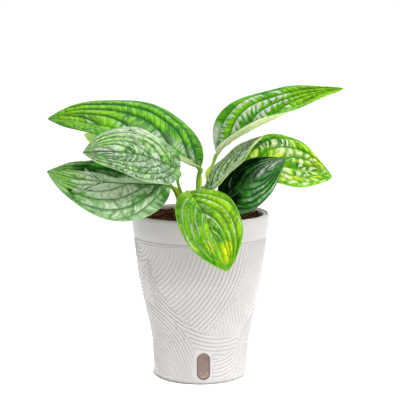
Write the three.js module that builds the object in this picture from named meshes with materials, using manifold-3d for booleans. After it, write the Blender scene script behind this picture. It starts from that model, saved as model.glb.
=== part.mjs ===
// A potted Monstera 'Peru': nine leaves on three short stems, in a ridged white
// self-watering pot with an inner pot and a water window.
// Millimetres, +Z up, +X to the right of the window side, the window looks along -Y.
// The origin is the centre of the pot's flat bottom.

import * as THREE from 'three';
import { mergeVertices } from 'three/addons/utils/BufferGeometryUtils.js';
import Module from 'manifold-3d';

const wasm = await Module();
wasm.setup();

// Driving dimensions.

const GAP = 0.3;

const POT_HEIGHT = 156;
const POT_WALL = 2.4;
const POT_FLOOR = 3;
// radius of the pot's outside at some heights: a wide top, drawn in towards the foot
const POT_OUTSIDE = [
  [43.2, 0], [44.6, 1.6], [45.1, 17], [46.9, 39], [51.3, 60], [55.8, 81],
  [59.9, 105], [62.8, 130], [64.9, 149], [65, 155],
];
const BAND_BOTTOM = 132;
// the ridges are larger than life: four of the real ones fit in one of these
const RIDGE_PITCH = 15;
const RIDGE_WIDTH = 7;
const RIDGE_HEIGHT = 1;
const RIDGE_SINK = 0.8;
const RIDGE_STEP = 11;
const RIDGE_SHORTEST = 14;
const RIDGE_REACH = 220;
const RIDGE_CLEAR = 5;
const RIDGE_LOW = 6;
const LEDGE_HEIGHT = 150.5;
const LEDGE_RADIUS = 61.9;
const RIM_INSIDE = 63;

const WINDOW_TURN = 3.6;
const WINDOW_WIDTH = 12.4;
const WINDOW_BOTTOM = 4.2;
const WINDOW_TOP = 30.4;
const WINDOW_FLANGE = 2.5;

const LINER_WALL = 1.2;
const LINER_AIR = 1.3;
const LINER_FLOOR = 42;
const LINER_TOP = 155;
const BENDS = [65, 97, 129, 149];
const WELL_RADIUS = 17;
const WELL_BOTTOM = 4;
const SOIL_LEVEL = 152;

const BLADE_THICKNESS = 0.8;
const QUILT_HEIGHT = 1.1;
const EDGE_WAVE = 1.2;

// the three cuttings: where each stem stands, how high it ends and how it leans
const STEMS = {
  stem_left: { foot: [-14, -16], top: [-15, -16, 171], radius: 3.4 },
  stem_middle: { foot: [4, -8], top: [4, -9, 177], radius: 3.8 },
  stem_right: { foot: [19, -12], top: [20, -12, 168], radius: 3.4 },
};
const STEM_DEPTH = 40;
const STEM_NECK = 3;
// a petiole as shares of its span: how high it rises first, how far it swings out, and how it
// comes in behind and under the base of the blade
const PETIOLE_RISE = 0.45;
const PETIOLE_SWING = 0.1;
const PETIOLE_BEHIND = 0.14;
const PETIOLE_UNDER = 0.08;
const KNEE_UNDER = 0.7;
// how far below the blade a petiole with a full knee of 1 would end
const KNEE_DROP = 5;

// Each leaf: its midrib as a Bezier curve (base, two handles, tip), the way its upper face
// looks at the base and at the tip (turn from the front, height, in degrees), the half widths
// left and right of the midrib, how far each half folds up at the base and at the tip, how far
// it curls down again, where it is widest, how blunt it is and how long each half's wedge at
// the base is. Each petiole leaves its stem at a node (height, turn). With a knee of 0 it comes
// in straight behind the midrib, with more it rises under the base and bends there.
const LEAVES = {
  left_top: {
    midrib: [[0, 9, 197], [-30, 7, 220], [-90, 8, 241], [-145, 8, 244]],
    face: [[5, 50], [-10, 50]], width: [42, 44],
    fold: [[45, 15], [25, 7]], curl: [6, 14], widest: 0.41, blunt: 0.86, wedge: [0, 0],
    stem: 'stem_middle', node: [166, 138], knee: 0.28, petiole: 2.4, colour: 0x4f9a2e,
  },
  left_middle: {
    midrib: [[-19, -39, 199], [-42, -49, 214], [-65, -72, 222], [-103, -75, 219]],
    face: [[-15, 47], [-10, 35]], width: [30, 33],
    fold: [[10, 8], [8, 14]], curl: [17, 20], widest: 0.37, blunt: 0.83, wedge: [0, 0],
    stem: 'stem_left', node: [163, 262], knee: 0.36, petiole: 1.7, colour: 0x7fa978,
  },
  left_low: {
    midrib: [[-28, -34, 185], [-59, -52, 190], [-100, -52, 187], [-137, -60, 201]],
    face: [[-10, 50], [-10, 55]], width: [39, 36],
    fold: [[-3, 8], [0, 5]], curl: [33, 19], widest: 0.42, blunt: 0.9, wedge: [0, 0],
    stem: 'stem_left', node: [158, 222], knee: 0, petiole: 1.8, colour: 0x5f9a52,
  },
  left_back: {
    midrib: [[-34, 2, 188], [-55, -2, 200], [-83, -6, 215], [-109, -8, 231]],
    face: [[-10, 50], [-10, 45]], width: [19, 20],
    fold: [[10, 10], [8, 8]], curl: [12, 12], widest: 0.4, blunt: 0.86, wedge: [0, 0],
    stem: 'stem_left', node: [161, 138], knee: 0, petiole: 1.5, colour: 0x9fc843,
  },
  front: {
    midrib: [[-11, -58, 182], [-3, -74, 177], [13, -88, 147], [24, -87, 116]],
    face: [[10, 50], [12, 5]], width: [31, 27],
    fold: [[14, 16], [7, 8]], curl: [16, 9], widest: 0.43, blunt: 0.84, wedge: [0, 0],
    stem: 'stem_middle', node: [160, 240], knee: 0, petiole: 1.7, colour: 0x5cb318,
  },
  right_top: {
    midrib: [[15, 7, 210], [26, -7, 228], [79, -6, 251], [133, -10, 273]],
    face: [[0, 50], [0, 52]], width: [37, 36],
    fold: [[20, 60], [2, 36]], curl: [7, -3], widest: 0.34, blunt: 0.83, wedge: [0.03, 0.12],
    stem: 'stem_middle', node: [167, 85], knee: 0.05, petiole: 1.9, colour: 0x57a523,
  },
  right_far: {
    midrib: [[36, 3, 198], [58, -3, 205], [95, -12, 196], [125, 0, 190]],
    face: [[13, 50], [11, 49]], width: [38, 31],
    fold: [[16, 12], [10, 4]], curl: [3, -10], widest: 0.41, blunt: 0.86, wedge: [0, 0],
    stem: 'stem_right', node: [162, 45], knee: 0, petiole: 1.8, colour: 0x97c83a,
  },
  right_near: {
    midrib: [[18, -28, 166], [31, -33, 176], [59, -36, 198], [78, -35, 210]],
    face: [[15, 36], [12, 38]], width: [24, 23],
    fold: [[6, 6], [3, 8]], curl: [14, 14], widest: 0.38, blunt: 0.89, wedge: [0, 0],
    stem: 'stem_right', node: [156, 262], knee: 0, petiole: 1.6, colour: 0x2c6420,
  },
  young: {
    midrib: [[3, -39, 184], [15, -48, 181], [30, -52, 209], [56, -50, 232]],
    face: [[-60, 37], [-60, 29]], width: [16, 17],
    fold: [[30, 27], [23, 23]], curl: [6, 5], widest: 0.39, blunt: 0.85, wedge: [0, 0],
    stem: 'stem_middle', node: [166, 290], knee: 0, petiole: 1.4, colour: 0x7b9a68,
  },
};

// Shared geometry.

const degrees = THREE.MathUtils.degToRad;
const mix = THREE.MathUtils.lerp;

// Joins equal corners, so that the surface is one closed skin.
function closed(geometry) {
  const plain = geometry.clone();
  for (const name of Object.keys(plain.attributes)) {
    if (name !== 'position') plain.deleteAttribute(name);
  }
  return mergeVertices(plain, 1e-4);
}

function solid(geometry) {
  const skin = closed(geometry);
  const vertProperties = new Float32Array(skin.attributes.position.array);
  const triVerts = new Uint32Array(skin.index.array);
  return new wasm.Manifold(new wasm.Mesh({ numProp: 3, vertProperties, triVerts }));
}

function surface(body) {
  const mesh = body.getMesh();
  const geometry = new THREE.BufferGeometry();
  const corners = new Float32Array((mesh.vertProperties.length / mesh.numProp) * 3);
  for (let i = 0; i < corners.length / 3; i += 1) {
    for (let k = 0; k < 3; k += 1) corners[3 * i + k] = mesh.vertProperties[i * mesh.numProp + k];
  }
  geometry.setAttribute('position', new THREE.BufferAttribute(corners, 3));
  geometry.setIndex(new THREE.BufferAttribute(new Uint32Array(mesh.triVerts), 1));
  geometry.computeVertexNormals();
  return geometry;
}

function piece(name, geometry, colour, roughness, metalness = 0) {
  const material = new THREE.MeshStandardMaterial({ color: colour, roughness, metalness });
  const mesh = new THREE.Mesh(geometry, material);
  mesh.name = name;
  return mesh;
}

// A body turned about the Z axis from a profile of [radius, height] points.
function turned(profile, sides) {
  const points = profile.map(([radius, height]) => new THREE.Vector2(radius, height));
  const geometry = new THREE.LatheGeometry(points, sides);
  geometry.rotateX(Math.PI / 2);
  return geometry;
}

// Straight-line reading of a list of [radius, height] points.
function radiusAt(points, height) {
  for (let i = 1; i < points.length; i += 1) {
    const [r0, z0] = points[i - 1];
    const [r1, z1] = points[i];
    if (height <= z1) return mix(r0, r1, (height - z0) / (z1 - z0));
  }
  return points[points.length - 1][0];
}

// The pot's ridges.

// The outside is covered with rows of ridges that fan out from a few centres, each fan cut off
// by the edge of the next. Places on the wall are [mm round from the front, mm up], at a
// radius of 60, and the design comes twice round the pot. The fans that lie on top come first.
const WALL_RADIUS = 60;
const REPEAT = Math.PI * WALL_RADIUS;
const FOOT = [62, -44];
const LEFT_FOOT = [-74, -1];
const BOWL = [38, 136];
const LEFT_TOP = [-130, 168];
const RIGHT = [82, 113];
const inBowl = (round, up) => away(round, up, BOWL) < 93;
const FANS = [
  { centre: [18, 78], middle: 62, covers: (round, up) => away(round, up, FOOT) < 78 },
  { centre: [-83.2, -5.4], middle: -74, covers: (round, up) => away(round, up, LEFT_FOOT) < 76 },
  { centre: [26.2, 156.2], middle: 38, covers: (round, up) => !inBowl(round, up) },
  { centre: [-156.7, 185.4], middle: 38, covers: (round, up) => away(round, up, LEFT_TOP) < 186 },
  { centre: [73.3, 106.9], middle: 38, covers: (round, up) => away(round, up, RIGHT) < 56 },
  { centre: [150, 115], middle: 38, covers: () => true },
];

function away(round, up, [centreRound, centreUp]) {
  return Math.hypot(round - centreRound, up - centreUp);
}

// The fan that shows at a place, and the place's distance round as that fan counts it.
function fanAt(round, up) {
  for (const fan of FANS) {
    const local = round - REPEAT * Math.round((round - fan.middle) / REPEAT);
    if (fan.covers(local, up)) return { fan, local };
  }
  return null;
}

// One ridge: a three-sided bar laid along an arc of the wall, with its foot sunk in the wall.
function ridgeBar(centre, radius, from, to, shift) {
  const steps = Math.max(2, Math.round((radius * (to - from)) / RIDGE_STEP));
  const corners = [];
  const faces = [];
  for (let i = 0; i <= steps; i += 1) {
    const turn = mix(from, to, i / steps);
    for (const [side, lift] of [[-1, -RIDGE_SINK], [1, -RIDGE_SINK], [0, RIDGE_HEIGHT]]) {
      const reach = radius + (side * RIDGE_WIDTH) / 2;
      const angle = (centre[0] + shift + reach * Math.cos(turn)) / WALL_RADIUS;
      const up = centre[1] + reach * Math.sin(turn);
      const out = radiusAt(POT_OUTSIDE, up) + lift;
      corners.push(out * Math.sin(angle), -out * Math.cos(angle), up);
    }
  }
  faces.push(0, 1, 2);
  for (let i = 0; i < steps; i += 1) {
    const [l0, r0, c0, l1, r1, c1] = [0, 1, 2, 3, 4, 5].map((k) => 3 * i + k);
    faces.push(l0, c0, c1, l0, c1, l1, c0, r0, r1, c0, r1, c1, l0, l1, r1, l0, r1, r0);
  }
  faces.push(3 * steps, 3 * steps + 2, 3 * steps + 1);
  const vertProperties = new Float32Array(corners);
  return new wasm.Manifold(new wasm.Mesh({ numProp: 3, vertProperties, triVerts: new Uint32Array(faces) }));
}

function makeRidges() {
  const bars = [];
  const high = BAND_BOTTOM - 2;
  const keepOff = WINDOW_WIDTH / 2 + RIDGE_CLEAR;
  for (const { centre, middle } of FANS) {
    for (let radius = RIDGE_PITCH; radius < RIDGE_REACH; radius += RIDGE_PITCH) {
      const bite = 1.5 / radius;
      let start = null;
      for (let turn = -Math.PI; turn <= Math.PI + bite; turn += bite) {
        const round = centre[0] + radius * Math.cos(turn);
        const up = centre[1] + radius * Math.sin(turn);
        const seen = up > RIDGE_LOW && up < high && turn <= Math.PI ? fanAt(round, up) : null;
        const shown = seen && seen.fan.centre === centre && Math.abs(seen.local - round) < 0.01
          && Math.abs(round - middle) <= REPEAT / 2;
        if (shown && start === null) start = turn;
        if (!shown && start !== null) {
          const from = start + 2 * bite;
          const to = turn - 3 * bite;
          if (radius * (to - from) > RIDGE_SHORTEST) {
            bars.push(ridgeBar(centre, radius, from, to, 0));
            bars.push(ridgeBar(centre, radius, from, to, REPEAT));
          }
          start = null;
        }
      }
    }
  }
  const around = windowSlot(2 * keepOff, WINDOW_BOTTOM - RIDGE_CLEAR, WINDOW_TOP + RIDGE_CLEAR);
  return wasm.Manifold.union(bars).subtract(around);
}

// Pot, window and inner pot.

const WALL_SIDES = 54;
const INSIDE_SIDES = 28;
const SLOT_NEAR = 30;
const SLOT_FAR = 60;

// A round-ended slot, standing upright and pushed through the front wall.
function windowSlot(width, bottom, top) {
  const half = width / 2;
  const outline = new THREE.Shape();
  outline.absarc(0, top - half, half, 0, Math.PI, false);
  outline.absarc(0, bottom + half, half, Math.PI, 2 * Math.PI, false);
  outline.closePath();
  const slot = new THREE.ExtrudeGeometry(outline, {
    depth: SLOT_FAR - SLOT_NEAR, bevelEnabled: false, curveSegments: 7,
  });
  slot.rotateX(Math.PI / 2);
  slot.translate(0, -SLOT_NEAR, 0);
  slot.rotateZ(degrees(WINDOW_TURN));
  return solid(slot);
}

function makePot() {
  const profile = [[0, 0], ...POT_OUTSIDE, [64.2, POT_HEIGHT], [RIM_INSIDE + 0.6, POT_HEIGHT]];
  profile.push([RIM_INSIDE, POT_HEIGHT - 1], [RIM_INSIDE, LEDGE_HEIGHT]);
  profile.push([LEDGE_RADIUS, LEDGE_HEIGHT]);
  for (const height of [129, 97, 65, 33]) {
    profile.push([radiusAt(POT_OUTSIDE, height) - POT_WALL, height]);
  }
  profile.push([42.4, POT_FLOOR + 0.5], [41.8, POT_FLOOR], [0, POT_FLOOR]);
  const slot = windowSlot(WINDOW_WIDTH, WINDOW_BOTTOM, WINDOW_TOP);
  return surface(solid(turned(profile, WALL_SIDES)).add(makeRidges()).subtract(slot));
}

// The clear lens fills the slot, with a flange behind the wall that it is bonded by.
function makeWindow() {
  const shell = (outer, inner) => {
    const up = [[outer + radiusAt(POT_OUTSIDE, 0.5), 0.5]];
    for (const height of [3, 17, 33, 36]) up.push([outer + radiusAt(POT_OUTSIDE, height), height]);
    const down = up.map(([radius, height]) => [radius - outer + inner, height]).reverse();
    return solid(turned([...up, ...down, up[0]], WALL_SIDES));
  };
  const inset = GAP / 2;
  const plug = windowSlot(WINDOW_WIDTH - 2 * GAP, WINDOW_BOTTOM + GAP, WINDOW_TOP - GAP);
  const wide = WINDOW_WIDTH + 2 * WINDOW_FLANGE;
  const flange = windowSlot(wide, WINDOW_BOTTOM - inset, WINDOW_TOP + WINDOW_FLANGE);
  const lens = plug.intersect(shell(-0.8, -POT_WALL - 1.4));
  const behind = flange.intersect(shell(-POT_WALL - GAP - 0.2, -POT_WALL - 1.4));
  return surface(lens.add(behind));
}

// The inner pot follows the outer one with a little air between them.
function linerRadius(height) {
  return radiusAt(POT_OUTSIDE, height) - POT_WALL - LINER_AIR;
}

function makeLiner() {
  const wallIn = (height) => linerRadius(height) - LINER_WALL;
  const lip = LEDGE_RADIUS + 0.7;
  const profile = [
    [0, WELL_BOTTOM], [WELL_RADIUS - 1, WELL_BOTTOM], [WELL_RADIUS, WELL_BOTTOM + 1],
    [WELL_RADIUS + 1.5, LINER_FLOOR - 1], [linerRadius(LINER_FLOOR) - 2, LINER_FLOOR - 1],
    [linerRadius(LINER_FLOOR), LINER_FLOOR + 1], ...BENDS.map((z) => [linerRadius(z), z]),
    [linerRadius(LEDGE_HEIGHT), LEDGE_HEIGHT + GAP],
    [lip, LEDGE_HEIGHT + GAP], [lip, LINER_TOP - 0.5], [lip - 0.5, LINER_TOP],
    [wallIn(LINER_TOP) + 0.3, LINER_TOP], [wallIn(LINER_TOP), LINER_TOP - 0.5],
    ...BENDS.map((z) => [wallIn(z), z]).reverse(), [wallIn(LINER_FLOOR + 2), LINER_FLOOR + 2],
    [wallIn(LINER_FLOOR) - 2, LINER_FLOOR + 0.3], [WELL_RADIUS + 0.4, LINER_FLOOR + 0.3],
    [WELL_RADIUS - LINER_WALL, WELL_BOTTOM + 2], [WELL_RADIUS - LINER_WALL - 1, WELL_BOTTOM + 1.2],
    [0, WELL_BOTTOM + 1.2],
  ];
  let body = solid(turned(profile, INSIDE_SIDES));
  const drains = 8;
  for (let i = 0; i < drains; i += 1) {
    const hole = new THREE.CylinderGeometry(2.2, 2.2, 8, 8);
    hole.rotateX(Math.PI / 2);
    hole.translate(34, 0, LINER_FLOOR);
    hole.rotateZ((2 * Math.PI * (i + 0.5)) / drains);
    body = body.subtract(solid(hole));
  }
  const slits = 6;
  for (let i = 0; i < slits; i += 1) {
    const slit = new THREE.BoxGeometry(6, 2, 20);
    slit.translate(WELL_RADIUS, 0, WELL_BOTTOM + 15);
    slit.rotateZ((2 * Math.PI * i) / slits);
    body = body.subtract(solid(slit));
  }
  return surface(body);
}

// Soil.

// Crumbs and hollows of the soil's top, as a sum of a few waves.
function soilHeight(x, y) {
  const radius = Math.hypot(x, y);
  const mound = 1.5 * (1 - (radius / 59) ** 2);
  const lumps = Math.sin(0.31 * x + 1.3) * Math.sin(0.27 * y + 0.4)
    + 0.7 * Math.sin(0.55 * x - 0.42 * y) + 0.5 * Math.sin(0.8 * y + 0.33 * x + 2);
  return SOIL_LEVEL + mound + 0.55 * lumps;
}

function makeSoil() {
  const wallIn = (height) => linerRadius(height) - LINER_WALL - GAP;
  const inWell = WELL_RADIUS - LINER_WALL - GAP - 0.2;
  const edge = wallIn(149) - 0.3;
  const profile = [
    [0, WELL_BOTTOM + 1.6], [inWell - 1.2, WELL_BOTTOM + 1.6], [inWell, WELL_BOTTOM + 2.6],
    [inWell + 1, LINER_FLOOR + 0.8], [wallIn(LINER_FLOOR) - 2.4, LINER_FLOOR + 0.8],
    [wallIn(LINER_FLOOR + 3), LINER_FLOOR + 3], ...BENDS.map((z) => [wallIn(z), z]),
  ];
  const rings = 9;
  for (let ring = 0; ring <= rings; ring += 1) {
    profile.push([edge * (1 - ring / rings), SOIL_LEVEL]);
  }
  const skin = closed(turned(profile, INSIDE_SIDES));
  const place = skin.attributes.position;
  for (let i = 0; i < place.count; i += 1) {
    if (place.getZ(i) > SOIL_LEVEL - 1) {
      place.setZ(i, soilHeight(place.getX(i), place.getY(i)));
    }
  }
  let body = solid(skin);
  for (const { foot, radius } of Object.values(STEMS)) {
    const hole = new THREE.CylinderGeometry(radius + GAP, radius + GAP, STEM_DEPTH + 20, 12);
    hole.rotateX(Math.PI / 2);
    hole.translate(foot[0], foot[1], SOIL_LEVEL - STEM_DEPTH + (STEM_DEPTH + 20) / 2);
    body = body.subtract(solid(hole));
  }
  return surface(body);
}

// Stems and petioles.

function vector([x, y, z]) {
  return new THREE.Vector3(x, y, z);
}

// A round rod along a curve, with its radius given along it.
function rod(curve, radiusOf, sides, steps) {
  const outline = new THREE.Shape();
  for (let i = 0; i < sides; i += 1) {
    const turn = (2 * Math.PI * i) / sides;
    const [x, y] = [Math.cos(turn), Math.sin(turn)];
    if (i === 0) outline.moveTo(x, y);
    else outline.lineTo(x, y);
  }
  outline.closePath();
  const geometry = new THREE.ExtrudeGeometry(outline, { steps, extrudePath: curve });
  const skin = closed(geometry);
  const place = skin.attributes.position;
  const centres = curve.getSpacedPoints(steps);
  const corner = new THREE.Vector3();
  for (let i = 0; i < place.count; i += 1) {
    corner.fromBufferAttribute(place, i);
    let best = 0;
    for (let k = 1; k <= steps; k += 1) {
      if (corner.distanceTo(centres[k]) < corner.distanceTo(centres[best])) best = k;
    }
    corner.sub(centres[best]).setLength(radiusOf(best / steps)).add(centres[best]);
    place.setXYZ(i, corner.x, corner.y, corner.z);
  }
  skin.computeVertexNormals();
  return skin;
}

// A stem stands straight in its hole in the soil and leans a little above it.
function stemCurve({ foot, top }) {
  const bottom = new THREE.Vector3(foot[0], foot[1], SOIL_LEVEL - STEM_DEPTH + GAP);
  const neck = new THREE.Vector3(foot[0], foot[1], SOIL_LEVEL + STEM_NECK);
  const path = new THREE.CurvePath();
  path.add(new THREE.LineCurve3(bottom, neck));
  const rise = new THREE.Vector3(foot[0], foot[1], mix(neck.z, top[2], 0.5));
  path.add(new THREE.QuadraticBezierCurve3(neck, rise, vector(top)));
  return path;
}

function makeStem(stem) {
  return rod(stemCurve(stem), (t) => stem.radius * (t > 0.97 ? 0.55 : 1), 10, 9);
}

// A petiole starts beside its stem and swings over to the base of its blade.
function petioleCurve(leaf) {
  const { foot, top, radius } = STEMS[leaf.stem];
  const [height, turn] = leaf.node;
  const neck = SOIL_LEVEL + STEM_NECK;
  const share = Math.max(0, (height - neck) / (top[2] - neck));
  const lean = share ** 2;
  const reach = radius + leaf.petiole + GAP + 0.15;
  const start = new THREE.Vector3(
    mix(foot[0], top[0], lean) + reach * Math.cos(degrees(turn)),
    mix(foot[1], top[1], lean) + reach * Math.sin(degrees(turn)),
    height,
  );
  const [base, handle] = leaf.midrib.map(vector);
  const ahead = handle.clone().sub(base).normalize();
  const end = base.clone().addScaledVector(ahead, -GAP - 0.35);
  end.z -= KNEE_DROP * leaf.knee;
  const span = start.distanceTo(end);
  const outward = new THREE.Vector3(Math.cos(degrees(turn)), Math.sin(degrees(turn)), 0);
  const rise = start.clone().addScaledVector(outward, PETIOLE_SWING * span);
  rise.z += PETIOLE_RISE * span;
  const reachBack = end.clone().addScaledVector(ahead, (leaf.knee - PETIOLE_BEHIND) * span);
  reachBack.z -= (PETIOLE_UNDER + KNEE_UNDER * leaf.knee) * span;
  return new THREE.CubicBezierCurve3(start, rise, reachBack, end);
}

function makePetiole(leaf) {
  const swell = (t) => leaf.petiole * (1 + 0.1 * (1 - t) - 0.25 * Math.sin(Math.PI * t));
  return rod(petioleCurve(leaf), swell, 7, 8);
}

// Blades.

// The side veins leave the midrib at a low angle and sweep forward to the margin. The blade's
// rows run along them: VEINS are the sunken rows, and the quilt stands up between them.
const VEINS = [0.1, 0.24, 0.39, 0.54, 0.69, 0.83];
const BASE_ROWS = [0.008, 0.025, 0.055];
const COLUMNS = [0, 0.14, 0.42, 0.7, 0.9, 1];
const ALONG_MIDRIB = 1.45;
const ALONG_MARGIN = 3.6;
const SWEEP_POWER = 1.5;

function outlineShare(x, side, { widest, blunt, wedge }) {
  const rise = (blunt * widest) / (1 - widest);
  const full = (x / widest) ** rise * ((1 - x) / (1 - widest)) ** blunt;
  return wedge[side] > 0 ? full * (1 - Math.exp(-((x / wedge[side]) ** 1.2))) : full;
}

// How far along the midrib the point lies that is u along the rows and v across.
function along(u, v) {
  const onMidrib = u ** ALONG_MIDRIB;
  const onMargin = 1 - (1 - u) ** ALONG_MARGIN;
  return mix(onMidrib, onMargin, Math.abs(v) ** SWEEP_POWER);
}

function facing([turn, height]) {
  const [a, e] = [degrees(turn), degrees(height)];
  return new THREE.Vector3(Math.cos(e) * Math.sin(a), -Math.cos(e) * Math.cos(a), Math.sin(e));
}

// Middle of the blade at a place, and the way that its upper face looks there.
function bladePoint(leaf, curve, x, v) {
  const centre = curve.getPointAt(x);
  const ahead = curve.getTangentAt(x);
  const up = facing(leaf.face[0]).lerp(facing(leaf.face[1]), x);
  up.addScaledVector(ahead, -up.dot(ahead)).normalize();
  const right = new THREE.Vector3().crossVectors(ahead, up);
  const side = v > 0 ? 1 : 0;
  const inside = x > 0 && x < 1;
  const across = inside ? Math.abs(v) * leaf.width[side] * outlineShare(x, side, leaf) : 0;
  const fold = degrees(mix(leaf.fold[0][side], leaf.fold[1][side], x));
  const curl = degrees(leaf.curl[side]) / leaf.width[side];
  const slope = fold - curl * across;
  const out = (Math.sin(fold) - Math.sin(slope)) / curl;
  const lift = (Math.cos(slope) - Math.cos(fold)) / curl;
  const point = centre.addScaledVector(right, Math.sign(v) * out).addScaledVector(up, lift);
  const tilt = v === 0 || !inside ? 0 : slope;
  const normal = up.multiplyScalar(Math.cos(tilt)).addScaledVector(right, -Math.sign(v) * Math.sin(tilt));
  return { point, normal };
}

function makeBlade(leaf) {
  const curve = new THREE.CubicBezierCurve3(...leaf.midrib.map(vector));
  const rows = [...BASE_ROWS];
  VEINS.forEach((vein, i) => {
    const next = i + 1 < VEINS.length ? VEINS[i + 1] : 1;
    rows.push(vein, (vein + next) / 2);
  });
  const across = [...COLUMNS.slice(1).reverse().map((v) => -v), ...COLUMNS];
  const corners = [];
  const faces = [];
  const lay = (u, v, side) => {
    const x = u === 0 || u === 1 ? u : along(u, v);
    const { point, normal } = bladePoint(leaf, curve, x, v);
    const crown = VEINS.includes(u) || BASE_ROWS.includes(u) || u === 0 || u === 1 ? 0 : 1;
    const spread = Math.sin(Math.PI * Math.min(1, Math.abs(v) * 1.05)) ** 0.6;
    const quilt = QUILT_HEIGHT * crown * (spread || 0) * (1 - u * 0.5);
    const inside = u > 0 && u < 1;
    const wave = inside ? EDGE_WAVE * Math.abs(v) ** 3 * Math.sin(14 * u + 2 * Math.sign(v)) : 0;
    point.addScaledVector(normal, quilt + wave + side * (BLADE_THICKNESS / 2));
    corners.push(point.x, point.y, point.z);
  };
  for (const side of [1, -1]) {
    lay(0, 0, side);
    for (const u of rows) {
      for (const v of across) lay(u, v, side);
    }
    lay(1, 0, side);
  }
  const count = across.length;
  const layer = rows.length * count + 2;
  const at = (side, row, column) => side * layer + 1 + row * count + column;
  for (const side of [0, 1]) {
    const add = side === 0 ? (a, b, c) => faces.push(a, b, c) : (a, b, c) => faces.push(a, c, b);
    const base = side * layer;
    const tip = base + layer - 1;
    for (let column = 0; column < count - 1; column += 1) {
      add(base, at(side, 0, column + 1), at(side, 0, column));
      add(tip, at(side, rows.length - 1, column), at(side, rows.length - 1, column + 1));
      for (let row = 0; row < rows.length - 1; row += 1) {
        const [a, b] = [at(side, row, column), at(side, row, column + 1)];
        const [c, d] = [at(side, row + 1, column + 1), at(side, row + 1, column)];
        if (column < (count - 1) / 2) {
          add(a, b, d);
          add(b, c, d);
        } else {
          add(a, b, c);
          add(a, c, d);
        }
      }
    }
  }
  const edge = (a, b) => faces.push(a, b, b + layer, a, b + layer, a + layer);
  const last = count - 1;
  edge(0, at(0, 0, 0));
  edge(at(0, 0, last), 0);
  for (let row = 0; row < rows.length - 1; row += 1) {
    edge(at(0, row, 0), at(0, row + 1, 0));
    edge(at(0, row + 1, last), at(0, row, last));
  }
  edge(at(0, rows.length - 1, 0), layer - 1);
  edge(layer - 1, at(0, rows.length - 1, last));
  const geometry = new THREE.BufferGeometry();
  geometry.setAttribute('position', new THREE.Float32BufferAttribute(corners, 3));
  geometry.setIndex(faces);
  geometry.computeVertexNormals();
  return geometry;
}

// Assembly.

const plant = new THREE.Group();
plant.name = 'potted_monstera';
plant.add(piece('pot', makePot(), 0xe9e7e4, 0.45));
plant.add(piece('water_window', makeWindow(), 0x9c8676, 0.1));
plant.add(piece('inner_pot', makeLiner(), 0xdedcd9, 0.5));
plant.add(piece('soil', makeSoil(), 0x4a2c17, 0.95));
for (const [name, stem] of Object.entries(STEMS)) {
  plant.add(piece(name, makeStem(stem), 0x7d9a3f, 0.6));
}
for (const [name, leaf] of Object.entries(LEAVES)) {
  plant.add(piece(`petiole_${name}`, makePetiole(leaf), 0x86a83c, 0.5));
  plant.add(piece(`leaf_${name}`, makeBlade(leaf), leaf.colour, 0.35));
}

export default plant;
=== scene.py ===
import math

import bpy
import numpy as np
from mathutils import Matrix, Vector, noise


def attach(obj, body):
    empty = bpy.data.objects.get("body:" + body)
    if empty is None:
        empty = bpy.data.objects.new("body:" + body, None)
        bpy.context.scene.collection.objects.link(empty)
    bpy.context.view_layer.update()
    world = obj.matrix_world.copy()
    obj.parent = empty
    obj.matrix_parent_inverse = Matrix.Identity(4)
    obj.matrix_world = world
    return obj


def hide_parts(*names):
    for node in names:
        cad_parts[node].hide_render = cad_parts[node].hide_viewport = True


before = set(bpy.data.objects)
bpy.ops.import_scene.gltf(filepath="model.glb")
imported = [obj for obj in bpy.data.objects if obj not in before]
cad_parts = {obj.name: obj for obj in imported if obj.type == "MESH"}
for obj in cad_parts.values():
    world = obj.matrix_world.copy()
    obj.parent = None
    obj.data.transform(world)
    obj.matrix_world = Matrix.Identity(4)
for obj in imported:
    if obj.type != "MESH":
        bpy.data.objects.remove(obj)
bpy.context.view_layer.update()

# The outer pot: off-white moulded plastic, wide at the top and drawn in towards a flat foot.
# It is moulded in one piece, with a plain band at the top and, under a fine groove, rows of
# ridges that fan out in patches. A round-ended slot low on the front takes the water window.
MM = 0.001
POT_OUTSIDE = [
    (43.2, 0), (44.0, 0.4), (44.5, 1.2), (44.7, 3), (45.0, 10), (45.3, 17.8), (46.5, 33.7),
    (48.9, 49.5), (52.4, 65), (55.7, 81), (58.9, 97), (60.7, 112.9), (62.5, 128.8), (64.2, 139),
    (64.9, 146.6), (65.1, 152), (65.1, 154.4), (64.8, 155.3), (64.3, 155.8), (63.9, 156.0),
]
POT_INSIDE = [
    (63.5, 156.0), (63.15, 155.7), (63.0, 155.1), (63.0, 150.5), (61.9, 150.5), (60.4, 128),
    (56.8, 97), (50.3, 65), (44.1, 33.7), (42.6, 17), (42.3, 4.5), (41.2, 3.0),
]
BAND_LINE = 134.0
BAND_LINE_WIDTH = 0.9
BAND_LINE_DEPTH = 0.55
WALL_RADIUS = 60.0
POT_SIDES = 200
RIDGE_WIDTH = 2.7
RIDGE_HEIGHT = 0.62
RIDGE_SINK = 0.35
RIDGE_STEP = 2.6
RIDGE_LOW = 3.4
RIDGE_HIGH = 132.4
RIDGE_END = 0.7
RIDGE_TAPER = 0.55
RIDGE_SHORTEST = 1.6
RIDGE_FARTHEST = 280
WINDOW_TURN = math.radians(3.6)
WINDOW_WIDTH = 12.4
WINDOW_BOTTOM = 4.2
WINDOW_TOP = 30.4
WINDOW_BORDER = 1.9
BAR_FAR = 60
BAR_NEAR = 30
PLASTIC_SHADE = (176, 172, 171)
PLASTIC_LIGHT = (186, 183, 182)


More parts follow.
